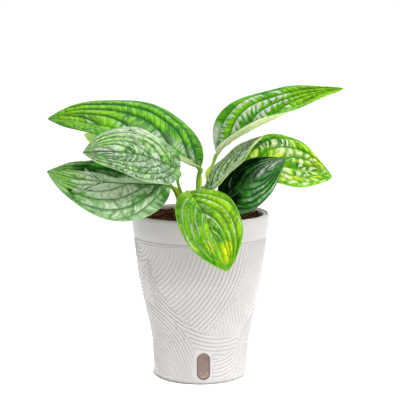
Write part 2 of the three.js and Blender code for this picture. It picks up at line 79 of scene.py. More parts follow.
def smooth_profile(profile, step):
    """An outline of (radius, height) points rounded off between them by a Catmull-Rom curve."""
    places = np.array(profile, float)
    padded = np.vstack([2 * places[0] - places[1], places, 2 * places[-1] - places[-2]])
    found = []
    for before, start, end, after in zip(padded, padded[1:], padded[2:], padded[3:]):
        count = max(1, int(np.hypot(*(end - start)) / step))
        for t in np.arange(count) / count:
            bend = (2 * before - 5 * start + 4 * end - after) * t
            bend += (3 * start - before - 3 * end + after) * t * t
            found.append(0.5 * (2 * start + t * (end - before + bend)))
    found.append(places[-1])
    return np.array(found)


def radius_at(profile, height):
    """Radius of a rising outline at some heights, in mm."""
    return np.interp(height, [up for _, up in profile], [radius for radius, _ in profile])


def away(round_mm, up, centre):
    """Distance along the wall from a place on it."""
    return np.hypot(round_mm - centre[0], up - centre[1])


# Places on the wall are (mm round from the front, mm up) at a radius of 60, and the design
# comes twice round the pot. The fans that lie on top come first: the centre of the ridges, the
# radius of the first and the step to the next, the middle of the repeat, and what the fan fills.
REPEAT = math.pi * WALL_RADIUS
BOWL = (38, 136)
SWEEP = (-70, 138.5)
FANS = [
    ((18, 78), 3.6, 3.6, 62, lambda r, z: away(r, z, (62, -44)) < 78),
    ((-83.2, -5.4), 3.8, 3.78, -74, lambda r, z: away(r, z, (-74, -1)) < 76),
    (SWEEP, 2.4, 3.97, -60, lambda r, z: away(r, z, SWEEP) < 24.2),
    ((26.2, 156.2), 3.1, 3.83, 38, lambda r, z: away(r, z, BOWL) > 93),
    (SWEEP, 2.4, 3.97, 38, lambda r, z: away(r, z, SWEEP) < 115.6),
    ((98.5, 139.2), 4.5, 3.37, 38, lambda r, z: away(r, z, (82, 113)) < 56),
    ((150, 115), 3.7, 3.75, 38, lambda r, z: np.full(r.shape, True)),
]


def fan_at(round_mm, up):
    """Number of the fan that shows at each place on the wall."""
    number = np.full(round_mm.shape, -1)
    for i, (_, _, _, middle, covers) in enumerate(FANS):
        local = round_mm - REPEAT * np.round((round_mm - middle) / REPEAT)
        number[(number < 0) & covers(local, up)] = i
    return number


def slot_distance(round_mm, up):
    """Distance in mm outside the window's round-ended outline."""
    half = WINDOW_WIDTH / 2
    turn = (round_mm / WALL_RADIUS - WINDOW_TURN + math.pi) % (2 * math.pi) - math.pi
    above = np.clip(up, WINDOW_BOTTOM + half, WINDOW_TOP - half)
    return np.hypot(turn * radius_at(POT_OUTSIDE, up), up - above) - half


def ridge_runs():
    """Each ridge as its fan's centre, its radius and its angles along the arc."""
    runs = []
    for i, (centre, first_radius, pitch, middle, _) in enumerate(FANS):
        for radius in np.arange(first_radius, RIDGE_FARTHEST, pitch):
            turn = np.linspace(-math.pi, math.pi, int(2 * math.pi * radius / 0.5))
            round_mm = centre[0] + radius * np.cos(turn)
            up = centre[1] + radius * np.sin(turn)
            inside = (up > RIDGE_LOW) & (up < RIDGE_HIGH)
            inside &= (np.abs(round_mm - middle) <= REPEAT / 2) & (fan_at(round_mm, up) == i)
            for shift in (0, REPEAT):
                shown = inside & (slot_distance(round_mm + shift, up) > WINDOW_BORDER)
                edges = np.flatnonzero(np.diff(np.concatenate([[0], shown.astype(int), [0]])))
                for start, end in zip(edges[::2], edges[1::2]):
                    first = turn[start] + RIDGE_END / radius
                    last = turn[end - 1] - RIDGE_END / radius
                    if radius * (last - first) > RIDGE_SHORTEST:
                        steps = max(2, round(radius * (last - first) / RIDGE_STEP))
                        run = np.linspace(first, last, steps + 1)
                        runs.append((centre[0] + shift, centre[1], radius, run))
    return runs


def bar_faces(first, rings, sides):
    """Faces of a bar of rings of points, with a flat face at each end."""
    last = first + (rings - 1) * sides
    faces = [tuple(range(first, first + sides)), tuple(range(last + sides - 1, last - 1, -1))]
    for here in range(first, last, sides):
        for side in range(sides):
            a, b = here + side, here + (side + 1) % sides
            faces.append((a, a + sides, b + sides, b))
    return faces


def ridge_bars():
    """Points and faces of all the ridges, each a bar with a rounded top and soft ends."""
    section = np.array([(-1, -RIDGE_SINK), (-0.68, 0.6), (0, 1), (0.68, 0.6), (1, -RIDGE_SINK)])
    points, faces = [], []
    for centre_round, centre_up, radius, run in ridge_runs():
        soft = RIDGE_TAPER / radius
        turns = [run[0] - soft, *run, run[-1] + soft]
        faces += bar_faces(len(points), len(turns), len(section))
        for step, turn in enumerate(turns):
            narrow, height = (1.0, 1.0) if 0 < step < len(turns) - 1 else (0.7, -0.3)
            reach = radius + section[:, 0] * narrow * RIDGE_WIDTH / 2
            angle = (centre_round + reach * math.cos(turn)) / WALL_RADIUS
            up = centre_up + reach * math.sin(turn)
            lift = section[:, 1] * np.where(section[:, 1] > 0, RIDGE_HEIGHT * height, 1.0)
            out = radius_at(POT_WALL, up) + lift
            points += np.stack([out * np.sin(angle), -out * np.cos(angle), up], -1).tolist()
    return points, faces


def new_piece(name, points_mm, faces, *materials):
    """A smooth mesh object from points in mm."""
    mesh = bpy.data.meshes.new(name)
    mesh.from_pydata((np.asarray(points_mm, float) * MM).tolist(), [], faces)
    for material in materials:
        mesh.materials.append(material)
    mesh.shade_smooth()
    mesh.update()
    piece = bpy.data.objects.new(name, mesh)
    bpy.context.scene.collection.objects.link(piece)
    return piece


def turned_rings(profile, sides):
    """Rings of points about the Z axis, one for each (radius, height) of an outline."""
    radii, heights = np.array(profile, float).T[:, :, None]
    turn = np.linspace(0, 2 * math.pi, sides, endpoint=False)
    x = radii * np.sin(turn)
    return np.stack([x, -radii * np.cos(turn), heights + 0 * x], -1).reshape(-1, 3).tolist()


def ring_faces(rings, sides, looped=False):
    """Quads between rings of points, and from the last ring to the first if looped."""
    faces = []
    for ring in range(rings if looped else rings - 1):
        here, above = ring * sides, (ring + 1) % rings * sides
        for side in range(sides):
            beside = (side + 1) % sides
            faces.append((here + side, here + beside, above + beside, above + side))
    return faces


def closed_faces(rings, sides):
    """Faces of a body of rings whose two ends are closed by two last points."""
    faces = ring_faces(rings, sides)
    first, last = rings * sides, (rings - 1) * sides
    for side in range(sides):
        beside = (side + 1) % sides
        faces += [(first, beside, side), (first + 1, last + side, last + beside)]
    return faces


def turned_piece(name, profile, sides, material):
    """A closed body turned about the Z axis from an outline that runs from axis to axis."""
    points = turned_rings(profile, sides) + [(0, 0, profile[0][1]), (0, 0, profile[-1][1])]
    return new_piece(name, points, closed_faces(len(profile), sides), material)


def joined(piece, other, operation):
    """The piece joined with or cut by another closed one, which is then removed."""
    cut = piece.modifiers.new("cut", "BOOLEAN")
    cut.operation = operation
    cut.solver = "MANIFOLD"
    cut.object = other
    shown = piece.evaluated_get(bpy.context.evaluated_depsgraph_get())
    mesh = bpy.data.meshes.new_from_object(shown)
    old = piece.data
    piece.modifiers.clear()
    piece.data = mesh
    bpy.data.meshes.remove(old)
    bpy.data.objects.remove(other)
    mesh.name = piece.name


def slot_bar(name, width, bottom, top, material):
    """A round-ended upright bar that runs out through the front wall where the window is."""
    half = width / 2
    turn = np.linspace(0, math.pi, 17)
    outline = [(half * math.cos(a), top - half + half * math.sin(a)) for a in turn]
    outline += [(-half * math.cos(a), bottom + half - half * math.sin(a)) for a in turn]
    cos, sin = math.cos(WINDOW_TURN), math.sin(WINDOW_TURN)
    points = [(x * cos + y * sin, x * sin - y * cos, z) for y in (BAR_FAR, BAR_NEAR) for x, z in outline]
    return new_piece(name, points, bar_faces(0, 2, len(outline)), material)


def seat(piece, node=None):
    """Puts a piece on the part's one body and in place of its solid."""
    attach(piece, "root")
    if node:
        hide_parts(node)


class Value:
    """A number or colour that nodes work out. Sums and products of it are Math nodes."""

    def __init__(self, socket):
        self.socket = socket
        self.tree = socket.id_data

    def __add__(self, other):
        return calc("ADD", self, other)

    def __sub__(self, other):
        return calc("SUBTRACT", self, other)

    def __rsub__(self, other):
        return calc("SUBTRACT", other, self)

    def __mul__(self, other):
        return calc("MULTIPLY", self, other)

    def __truediv__(self, other):
        return calc("DIVIDE", self, other)

    def __abs__(self):
        return calc("ABSOLUTE", self)

    __radd__ = __add__
    __rmul__ = __mul__


def rgb(colour):
    """A screen colour, 0 to 255, as the linear values that shaders work with."""
    return tuple(((value / 255 + 0.055) / 1.055) ** 2.4 for value in colour)


def feed(socket, source):
    """Fills a socket from a value, a number, a vector or, where it takes one, a screen colour."""
    if isinstance(source, Value):
        source.tree.links.new(source.socket, socket)
    elif socket.type == "RGBA":
        socket.default_value = (*(rgb(source) if isinstance(source, tuple) else [source] * 3), 1.0)
    else:
        socket.default_value = source


def add_node(tree, kind, output=0, **values):
    """One output of a new node, with its settings made and its sockets filled."""
    node = tree.nodes.new("ShaderNode" + kind)
    for name, value in values.items():
        if hasattr(node, name):
            setattr(node, name, value)
        else:
            feed(node.inputs[name.replace("_", " ")], value)
    return Value(node.outputs[output])


def calc(operation, *sources):
    """A value worked out by one Math node from numbers and other values."""
    tree = next(source.tree for source in sources if isinstance(source, Value))
    result = add_node(tree, "Math", operation=operation)
    for socket, source in zip(result.socket.node.inputs, sources):
        feed(socket, source)
    return result


def new_material(name, roughness, **sockets):
    """A material with a Principled shader, its node tree and the shader's sockets."""
    material = bpy.data.materials.new(name)
    material.use_nodes = True
    inputs = material.node_tree.nodes["Principled BSDF"].inputs
    inputs["Roughness"].default_value = roughness
    for socket, value in sockets.items():
        inputs[socket.replace("_", " ")].default_value = value
    return material, material.node_tree, inputs


def noise_value(tree, scale, detail=3.0, stretch=(1, 1, 1)):
    """Noise over the piece's own coordinates."""
    place = add_node(tree, "Mapping", Vector=add_node(tree, "TexCoord", "Object"), Scale=stretch)
    return add_node(tree, "TexNoise", "Fac", Vector=place, Scale=scale, Detail=detail)


def ramp(source, *stops):
    """A colour that changes with a value, from (position, screen colour) stops."""
    colour = add_node(source.tree, "ValToRGB", Fac=source)
    elements = colour.socket.node.color_ramp.elements
    while len(elements) < len(stops):
        elements.new(0.5)
    for element, (position, screen) in zip(elements, stops):
        element.position = position
        element.color = (*rgb(screen), 1.0)
    return colour


def fade(source, low, high, start=0.0, end=1.0):
    """A value that goes smoothly from start to end as the source goes from low to high."""
    return add_node(
        source.tree, "MapRange", interpolation_type="SMOOTHSTEP", Value=source,
        From_Min=low, From_Max=high, To_Min=start, To_Max=end)


def bump(inputs, height, strength, distance):
    """Roughens a material by a value taken as a height."""
    feed(inputs["Normal"], add_node(
        height.tree, "Bump", Height=height, Strength=strength, Distance=distance))


def plastic_material():
    material, tree, inputs = new_material("pot_plastic", 0.42, Specular_IOR_Level=0.4)
    colour = ramp(noise_value(tree, 22.0, 4.0), (0.3, PLASTIC_SHADE), (0.7, PLASTIC_LIGHT))
    feed(inputs["Base Color"], colour)
    grain = noise_value(tree, 900.0, 2.0)
    feed(inputs["Roughness"], fade(grain, 0.2, 0.8, 0.36, 0.5))
    bump(inputs, grain, 0.12, 0.0002)
    return material


plastic = plastic_material()
POT_WALL = smooth_profile(POT_OUTSIDE, 3.2)
band_line = [
    (radius_at(POT_WALL, BAND_LINE + share * BAND_LINE_WIDTH) - BAND_LINE_DEPTH * deep,
     BAND_LINE + share * BAND_LINE_WIDTH)
    for share, deep in ((-0.5, 0), (-0.2, 1), (0.2, 1), (0.5, 0))
]
wall = [place for place in POT_WALL.tolist() if abs(place[1] - BAND_LINE) > 1]
wall = sorted(wall[:-2] + band_line, key=lambda place: place[1]) + wall[-2:]
pot = turned_piece("pot_shell", wall + POT_INSIDE, POT_SIDES, plastic)
joined(pot, new_piece("ridges", *ridge_bars(), plastic), "UNION")
joined(pot, slot_bar("slot_bar", WINDOW_WIDTH, WINDOW_BOTTOM, WINDOW_TOP, plastic), "DIFFERENCE")
pot.data.set_sharp_from_angle(angle=math.radians(38))
seat(pot, "pot")

# The water window: a smoky clear plastic lens that fills the slot, bonded to the inside of the
# wall by a flange, so that the water level behind it shows.
WINDOW_GAP = 0.25
WINDOW_SINK = 0.9
WINDOW_FLANGE = 2.2
WINDOW_INSIDE = 4.0
FLANGE_SINK = 2.6
WINDOW_BROWN = (92, 66, 48)
WINDOW_EDGE = (78, 40, 18)
WINDOW_PALE = (124, 96, 78)
WINDOW_ASIDE = 2.8


def shell(name, outer, inner, low, high, material, sides=160):
    """A ring that follows the pot's wall between two offsets from its outside, in mm."""
    up = [(float(radius_at(POT_WALL, z)) + outer, z) for z in np.linspace(low, high, 24)]
    profile = up + [(radius - outer + inner, z) for radius, z in reversed(up)]
    faces = ring_faces(len(profile), sides, looped=True)
    return new_piece(name, turned_rings(profile, sides), faces, material)


def mixed(share, first, second):
    """A colour between two, each of which is a value, a screen colour or a number for a grey."""
    result = add_node(share.tree, "Mix", 2, data_type="RGBA")
    inputs = result.socket.node.inputs
    for socket, source in zip((inputs[0], inputs[6], inputs[7]), (share, first, second)):
        feed(socket, source)
    return result


def split(vector):
    """The three parts of a vector or colour."""
    part = add_node(vector.tree, "SeparateXYZ", Vector=vector)
    return [Value(output) for output in part.socket.node.outputs]


def window_material():
    material, tree, inputs = new_material(
        "window_plastic", 0.1, Specular_IOR_Level=0.55, Coat_Weight=0.5, Coat_Roughness=0.05)
    x, _, z = split(add_node(tree, "TexCoord", "Object"))
    cloud = noise_value(tree, 260.0, 3.0)
    colour = ramp(
        z * 33.0 + fade(cloud, 0.3, 0.7, -0.12, 0.12), (0.16, WINDOW_PALE), (0.3, WINDOW_PALE),
        (0.36, WINDOW_BROWN), (0.72, WINDOW_BROWN), (0.84, WINDOW_EDGE), (0.98, WINDOW_BROWN))
    half = WINDOW_WIDTH / 2 * MM
    straight = (WINDOW_TOP - WINDOW_BOTTOM) / 2 * MM - half
    aside = x - WINDOW_ASIDE * MM
    beyond = abs(z - (WINDOW_TOP + WINDOW_BOTTOM) / 2 * MM) - straight
    beyond = calc("MAXIMUM", beyond, 0.0)
    reach = calc("SQRT", beyond * beyond + aside * aside)
    border = fade(reach, half - 2.2 * MM, half - 0.8 * MM, 0.0, 0.9)
    feed(inputs["Base Color"], mixed(border, colour, WINDOW_EDGE))
    bump(inputs, cloud, 0.15, 0.0003)
    return material


smoky = window_material()
lens = shell("water_lens", -WINDOW_SINK, -WINDOW_INSIDE, 2, 33, smoky)
joined(lens, slot_bar(
    "lens_bar", WINDOW_WIDTH - 2 * WINDOW_GAP, WINDOW_BOTTOM + WINDOW_GAP, WINDOW_TOP - WINDOW_GAP,
    smoky), "INTERSECT")
flange = shell("flange", -FLANGE_SINK, -WINDOW_INSIDE, 2, 36, smoky)
joined(flange, slot_bar(
    "flange_bar", WINDOW_WIDTH + 2 * WINDOW_FLANGE, WINDOW_BOTTOM, WINDOW_TOP + WINDOW_FLANGE,
    smoky), "INTERSECT")
joined(lens, flange, "UNION")
lens.data.set_sharp_from_angle(angle=math.radians(40))
seat(lens, "water_window")

# The inner pot: off-white plastic with a turned-out lip that lies on the outer pot's ledge, a
# drained floor, and a well in the middle that stands in the water.
LINER_TOP = 155.0
LINER_LEDGE = 150.8
LINER_FLOOR = 42.0
LINER_AIR = 1.3
LINER_WALL = 1.2
POT_WALL_THICKNESS = 2.4
LINER_LIP = 62.6
WELL_RADIUS = 17.0
WELL_BOTTOM = 4.0
DRAINS = 8
DRAIN_RADIUS = 2.2
DRAIN_RING = 34


def liner_radius(height):
    """Outside radius of the inner pot, which follows the outer one."""
    return float(radius_at(POT_WALL, height)) - POT_WALL_THICKNESS - LINER_AIR


liner_out = [(liner_radius(z), z) for z in np.linspace(LINER_FLOOR + 1, LINER_LEDGE - 1, 24)]
liner_in = [(radius - LINER_WALL, z) for radius, z in reversed(liner_out)]
floor_edge = liner_radius(LINER_FLOOR)
rim_edge = liner_radius(LINER_TOP) - LINER_WALL
well_inside = WELL_RADIUS - LINER_WALL
liner_profile = [
    (WELL_RADIUS - 1, WELL_BOTTOM), (WELL_RADIUS, WELL_BOTTOM + 1),
    (WELL_RADIUS + 1.5, LINER_FLOOR - 1), (floor_edge - 2, LINER_FLOOR - 1), *liner_out,
    (LINER_LIP, LINER_LEDGE), (LINER_LIP, LINER_TOP - 0.6), (LINER_LIP - 0.2, LINER_TOP - 0.15),
    (LINER_LIP - 0.6, LINER_TOP), (rim_edge + 0.5, LINER_TOP), (rim_edge + 0.1, LINER_TOP - 0.2),
    (rim_edge, LINER_TOP - 0.7), *liner_in, (floor_edge - 3.2, LINER_FLOOR + 0.3),
    (WELL_RADIUS + 0.4, LINER_FLOOR + 0.3), (well_inside, WELL_BOTTOM + 2),
    (well_inside - 1, WELL_BOTTOM + 1.2),
]
liner = turned_piece("liner_pot", liner_profile, 180, plastic)
for drain in range(DRAINS):
    turn = 2 * math.pi * (drain + 0.5) / DRAINS
    low, high = LINER_FLOOR - 4, LINER_FLOOR + 4
    bar = turned_piece("drain_bar", [(DRAIN_RADIUS, low), (DRAIN_RADIUS, high)], 24, plastic)
    bar.location = (DRAIN_RING * math.cos(turn) * MM, DRAIN_RING * math.sin(turn) * MM, 0)
    joined(liner, bar, "DIFFERENCE")
liner.data.set_sharp_from_angle(angle=math.radians(50))
seat(liner, "inner_pot")

# The soil: dark brown potting peat that fills the inner pot to just under its rim, with a
# crumbly top of lumps and hollows, strewn with loose crumbs.
SOIL_LEVEL = 152.0
SOIL_TOP_EDGE = 149
SOIL_RINGS = 110
SOIL_SIDES = 300
SOIL_CRUMBS = 520
SOIL_GAP = 0.3
SOIL_DARK = (44, 20, 8)
SOIL_BROWN = (112, 60, 30)
SOIL_LIGHT = (178, 118, 66)
SOIL_SEED = 11


def soil_height(x, y):
    """Height of the soil's top at one place, in mm."""
    mound = 1.5 * (1 - (math.hypot(x, y) / 59) ** 2)
    lumps = math.sin(0.31 * x + 1.3) * math.sin(0.27 * y + 0.4)
    lumps += 0.7 * math.sin(0.55 * x - 0.42 * y) + 0.5 * math.sin(0.8 * y + 0.33 * x + 2)
    place = Vector((x * 0.33, y * 0.33, 4.2))
    rough = 0.9 * noise.noise(place) + 0.7 * abs(noise.noise(place * 2.3))
    rough += 0.45 * abs(noise.noise(place * 5.1))
    return SOIL_LEVEL + mound + 0.55 * lumps + rough - 0.5


def soil_material():
    material, tree, inputs = new_material("soil", 0.95, Specular_IOR_Level=0.15)
    grain = noise_value(tree, 420.0, 6.0)
    tone = (grain + noise_value(tree, 130.0, 4.0)) * 0.78
    feed(inputs["Base Color"], ramp(tone, (0.75, SOIL_DARK), (0.98, SOIL_BROWN), (1.0, SOIL_LIGHT)))
    bump(inputs, grain, 0.8, 0.0012)
    return material


def crumb(points, faces, centre, size, draw):
    """Adds one rough lump, an uneven ball with six sides."""
    first = len(points)
    stretch = size * (0.7 + 0.6 * draw.random(3))
    ball = [(0, 0, 1)]
    for lift in (0.55, -0.35):
        for side in range(6):
            turn = math.pi * side / 3 + lift
            ball.append((math.cos(turn) * 0.85, math.sin(turn) * 0.85, lift))
    ball.append((0, 0, -1))
    for place in ball:
        shake = 1 + 0.3 * (draw.random() - 0.5)
        points.append(tuple(np.array(centre) + np.array(place) * stretch * shake))
    for side in range(6):
        a, b = first + 1 + side, first + 1 + (side + 1) % 6
        faces += [(first, a, b), (a, a + 6, b + 6, b), (first + 13, b + 6, a + 6)]


def make_soil():
    """The filling, its top pushed up and down by a formula, and loose crumbs on it."""
    inside = LINER_WALL + SOIL_GAP
    edge = liner_radius(SOIL_TOP_EDGE) - inside
    in_well = WELL_RADIUS - LINER_WALL - 0.5
    low = LINER_FLOOR + 0.8
    body = [
        (in_well - 1.2, WELL_BOTTOM + 1.6), (in_well, WELL_BOTTOM + 2.6), (in_well + 1, low),
        (liner_radius(LINER_FLOOR) - 3.9, low),
    ]
    heights = np.linspace(LINER_FLOOR + 3, SOIL_TOP_EDGE, 16)
    body += [(liner_radius(z) - inside, z) for z in heights]
    body += [(edge * (1 - ring / SOIL_RINGS), SOIL_LEVEL) for ring in range(SOIL_RINGS)]
    soil = turned_piece("soil_fill", body, SOIL_SIDES, soil_material())
    for vertex in soil.data.vertices:
        if vertex.co.z > (SOIL_LEVEL - 1) * MM:
            vertex.co.z = soil_height(vertex.co.x / MM, vertex.co.y / MM) * MM
    draw = np.random.default_rng(SOIL_SEED)
    points, faces = [], []
    for _ in range(SOIL_CRUMBS):
        reach = (edge - 2) * math.sqrt(draw.random())
        turn = 2 * math.pi * draw.random()
        x, y = reach * math.cos(turn), reach * math.sin(turn)
        size = 0.5 + 1.3 * draw.random() ** 2
        crumb(points, faces, (x, y, soil_height(x, y) + 0.25 * size), size, draw)
    return soil, new_piece("soil_crumbs", points, faces, soil.data.materials[0])


soil, crumbs = make_soil()
seat(soil, "soil")
seat(crumbs)

# The three stems: short thick green cuttings that stand down in the soil, ringed by the scars of
# old leaves, with corky brown skin near the foot.
STEM_DEPTH = 40.0
STEM_LEFT = {"foot": (-14, -16), "top": (-15, -16, 171), "radius": 3.4}
STEM_MIDDLE = {"foot": (4, -8), "top": (4, -9, 177), "radius": 3.8}
STEM_RIGHT = {"foot": (19, -12), "top": (20, -12, 168), "radius": 3.4}
STEM_GREEN = (96, 132, 52)
STEM_PALE = (140, 160, 84)
STEM_CORK = (122, 104, 66)
STEM_STEPS = 90
STEM_SIDES = 40
SCAR_PITCH = 9


def unit(vectors):
    """The same vectors at a length of 1."""
    length = np.linalg.norm(vectors, axis=-1, keepdims=True)
    return vectors / np.maximum(length, 1e-9)


def set_attribute(piece, name, values):
    """Gives each point of a piece a value that its material can read."""
    layer = piece.data.attributes.new(name, "FLOAT", "POINT")
    layer.data.foreach_set("value", np.asarray(values, np.float32))


def attribute(tree, name):
    """The values that set_attribute gave the piece."""
    return add_node(tree, "Attribute", "Fac", attribute_name=name)


def rod(name, centres, radii, sides, material, wobble=0.0, seed=0.0):
    """A closed round rod along a line of places, and its share along as an attribute."""
    centres = np.asarray(centres, float)
    ways = unit(np.gradient(centres, axis=0))
    across = unit(np.cross(ways[0], (0.3, 0.9, 0.2)))
    points = []
    for centre, ahead, radius in zip(centres, ways, radii):
        across = unit(across - ahead * (across @ ahead))
        beside = np.cross(ahead, across)
        for side in range(sides):
            turn = 2 * math.pi * side / sides
            way = across * math.cos(turn) + beside * math.sin(turn)
            place = centre + way * radius
            rough = wobble * noise.noise(Vector(place * 0.55) + Vector((seed, 0, 0)))
            points.append(place + way * rough)
    points += [centres[0], centres[-1]]
    piece = new_piece(name, points, closed_faces(len(centres), sides), material)
    set_attribute(piece, "share", [*np.repeat(np.linspace(0, 1, len(centres)), sides), 0.0, 1.0])
    return piece


def stem_material():
    material, tree, inputs = new_material("stem", 0.5)
    share = attribute(tree, "share")
    streak = noise_value(tree, 420.0, 4.0, (1, 1, 0.25))
    green = ramp(streak, (0.35, STEM_GREEN), (0.7, STEM_PALE))
    colour = mixed(fade(share + streak * 0.3, 0.72, 0.98, 1.0, 0.0), green, STEM_CORK)
    scar = fade(calc("SINE", share * 55.0), 0.93, 0.99)
    feed(inputs["Base Color"], mixed(scar, colour, STEM_CORK))
    bump(inputs, streak, 0.4, 0.0006)
    return material


stem_skin = stem_material()


def stem_axis(stem, height):
    """The middle of a stem at a height. Above the soil it leans from its foot to its top."""
    foot, top = np.array(stem["foot"]), np.array(stem["top"])
    share = (height - SOIL_LEVEL - 3) / (top[2] - SOIL_LEVEL - 3)
    lean = min(1.0, max(0.0, share)) ** 2
    return np.array([*(foot + (top[:2] - foot) * lean), height])


def make_stem(name, stem):
    """One cutting, swollen at each scar and rounded at its top."""
    radius, top = stem["radius"], stem["top"][2]
    heights = np.linspace(SOIL_LEVEL - STEM_DEPTH + 0.3, top, STEM_STEPS)
    swell = 0.3 * np.exp(-((heights % SCAR_PITCH - SCAR_PITCH / 2) / 1.1) ** 2)
    close = np.clip((top - heights) / 2.2, 0, 1)
    radii = (radius - 0.25 + swell) * (0.25 + 0.75 * close ** 0.5)
    centres = [stem_axis(stem, height) for height in heights]
    piece = rod(name + "_skin", centres, radii, STEM_SIDES, stem_skin, 0.35, radius)
    seat(piece, name)


make_stem("stem_left", STEM_LEFT)
make_stem("stem_middle", STEM_MIDDLE)
make_stem("stem_right", STEM_RIGHT)

# The upper left leaf, the longest: a thick glossy blade on its green stalk. The blade grew as
# one piece, with side veins sunk in its upper face, the flesh quilted up between them and
# finer cross veins that divide it into rows of cells. These shapes are shared by all leaves.
BLADE_THICKNESS = 0.8
MARGIN_THICKNESS = 0.34
QUILT_HEIGHT = 1.25
EDGE_WAVE = 1.2
VEIN_STARTS = (0.03, 0.1, 0.2, 0.34, 0.52, 0.7, 0.85)
VEIN_COURSE = (0.1, 0.3, 0.15)
CELL_PITCH = 6.0
CELL_HEIGHT = 0.6
CELL_SLANT = 0.5
CELL_BUMPS = 0.3
VEIN_DEPTH = 0.42
VEIN_WIDTH = 1.0
VEIN_KEEL = 0.4
MIDRIB_DEPTH = 0.55
MIDRIB_WIDTH = 1.3
MIDRIB_KEEL = 1.0
PETIOLE_SIDES = 28
PETIOLE_STEPS = 64
PETIOLE_GAP = 0.45
PETIOLE_END = (0.02, 0.05, 0.08)
KNEE_DROP = 5.0
PETIOLE_GREEN = (116, 172, 34)
PETIOLE_YELLOW = (142, 186, 48)
SHEATH_SIDES = 12
SHEATH_SPREAD = 1.5
SHEATH_DRY = (204, 218, 66)
SHEATH_PALE = (224, 232, 124)


def bezier(points, t):
    """Places on a cubic Bezier curve for an array of t."""
    a, b, c, d = np.array(points, float)
    t = t[:, None]
    return (1 - t) ** 3 * a + 3 * (1 - t) ** 2 * t * b + 3 * (1 - t) * t * t * c + t ** 3 * d


def facing(turn, height):
    """The way that a face looks, turned from the front and up from level, in degrees."""
    a, e = math.radians(turn), math.radians(height)
    return np.array([math.cos(e) * math.sin(a), -math.cos(e) * math.cos(a), math.sin(e)])


def dot(first, second):
    """Dot products of two arrays of vectors, as an array that can scale vectors."""
    return (first * second).sum(-1, keepdims=True)


class Blade:
    """The middle surface of one leaf: its midrib, outline, folds and curls."""

    def __init__(self, midrib, face, width, fold, curl, widest, blunt, wedge=(0, 0)):
        self.width, self.fold, self.curl = width, np.radians(fold), np.radians(curl)
        self.widest, self.blunt, self.wedge = widest, blunt, wedge
        self.base = np.array(midrib[0], float)
        self.base_way = unit(midrib[1] - self.base)
        self.line = bezier(midrib, np.linspace(0, 1, 801))
        steps = np.linalg.norm(np.diff(self.line, axis=0), axis=1)
        reach = np.concatenate([[0], np.cumsum(steps)])
        self.length = reach[-1]
        self.share = reach / self.length
        self.ahead = unit(np.gradient(self.line, axis=0))
        start, end = facing(*face[0]), facing(*face[1])
        up = start + (end - start) * self.share[:, None]
        self.up = unit(up - dot(up, self.ahead) * self.ahead)

    def read(self, table, x):
        """What a table of vectors along the midrib says at x."""
        return np.stack([np.interp(x, self.share, column) for column in table.T], -1)

    def outline(self, x, on_right):
        """Half width as a share of the largest, narrowed to a wedge at the base of some halves."""
        rise = self.blunt * self.widest / (1 - self.widest)
        x = np.clip(x, 1e-6, 1 - 1e-6)
        full = (x / self.widest) ** rise * ((1 - x) / (1 - self.widest)) ** self.blunt
        wedge = np.where(on_right, self.wedge[1], self.wedge[0])
        return full * (1 - np.exp(-(x / np.maximum(wedge, 1e-6)) ** 1.2))

    def places(self, x, v):
        """Middle of the blade and the way its upper face looks, for arrays of places."""
        centre, ahead, up = (self.read(table, x) for table in (self.line, self.ahead, self.up))
        up = unit(up - dot(up, ahead) * ahead)
        right = np.cross(ahead, up)
        on_right = v > 0
        width = np.where(on_right, self.width[1], self.width[0])
        across = np.abs(v) * width * self.outline(x, on_right)
        start, end = (np.where(on_right, fold[1], fold[0]) for fold in self.fold)
        fold = start + (end - start) * x
        curl = np.where(on_right, self.curl[1], self.curl[0]) / width
        slope = fold - curl * across
        out = np.sign(v) * (np.sin(fold) - np.sin(slope)) / curl
        lift = (np.cos(slope) - np.cos(fold)) / curl
        tilt = np.sign(v) * slope
        place = centre + right * out[..., None] + up * lift[..., None]
        return place, up * np.cos(tilt)[..., None] - right * np.sin(tilt)[..., None]


def waves(places, scale, seed):
    """A smooth random value, about -1 to 1, for each place."""
    shift = Vector((seed, 2.3 * seed, 0.7 * seed))
    values = [noise.noise(Vector(place) + shift) for place in places.reshape(-1, 3) * scale]
    return np.array(values).reshape(places.shape[:-1]) * 1.6


def vein_across(x, start, course):
    """How far out towards the margin a side vein has come at x, if it left the midrib at start."""
    sweep, fall, spread = course
    reach = 0.95 * np.exp(-start / fall) + 0.3 * np.maximum(start, 0)
    gone = x - start
    return reach * (1 - np.exp(-np.maximum(gone, 0) / sweep)) + spread * gone


def vein_start(x, across, course):
    """Where the side vein that runs through each place left the midrib."""
    low, high = np.full(x.shape, -0.6), x.copy()
    for _ in range(28):
        half = (low + high) / 2
        outside = vein_across(x, half, course) > across
        low = np.where(outside, half, low)
        high = np.where(outside, high, half)
    return (low + high) / 2


def vein_run(blade, x, start, on_right, course):
    """Distance in mm along the side vein, counted on from where it left the midrib."""
    width = np.where(on_right, blade.width[1], blade.width[0])
    first = np.clip(start, 0, None)
    run = blade.length * first
    before_along, before_out = first, 0
    for step in np.linspace(0, 1, 25)[1:]:
        along = first + (x - first) * step
        across = np.minimum(vein_across(along, start, course), 1.2)
        out = across * width * blade.outline(along, on_right)
        run = run + np.hypot(blade.length * (along - before_along), out - before_out)
        before_along, before_out = along, out
    return run


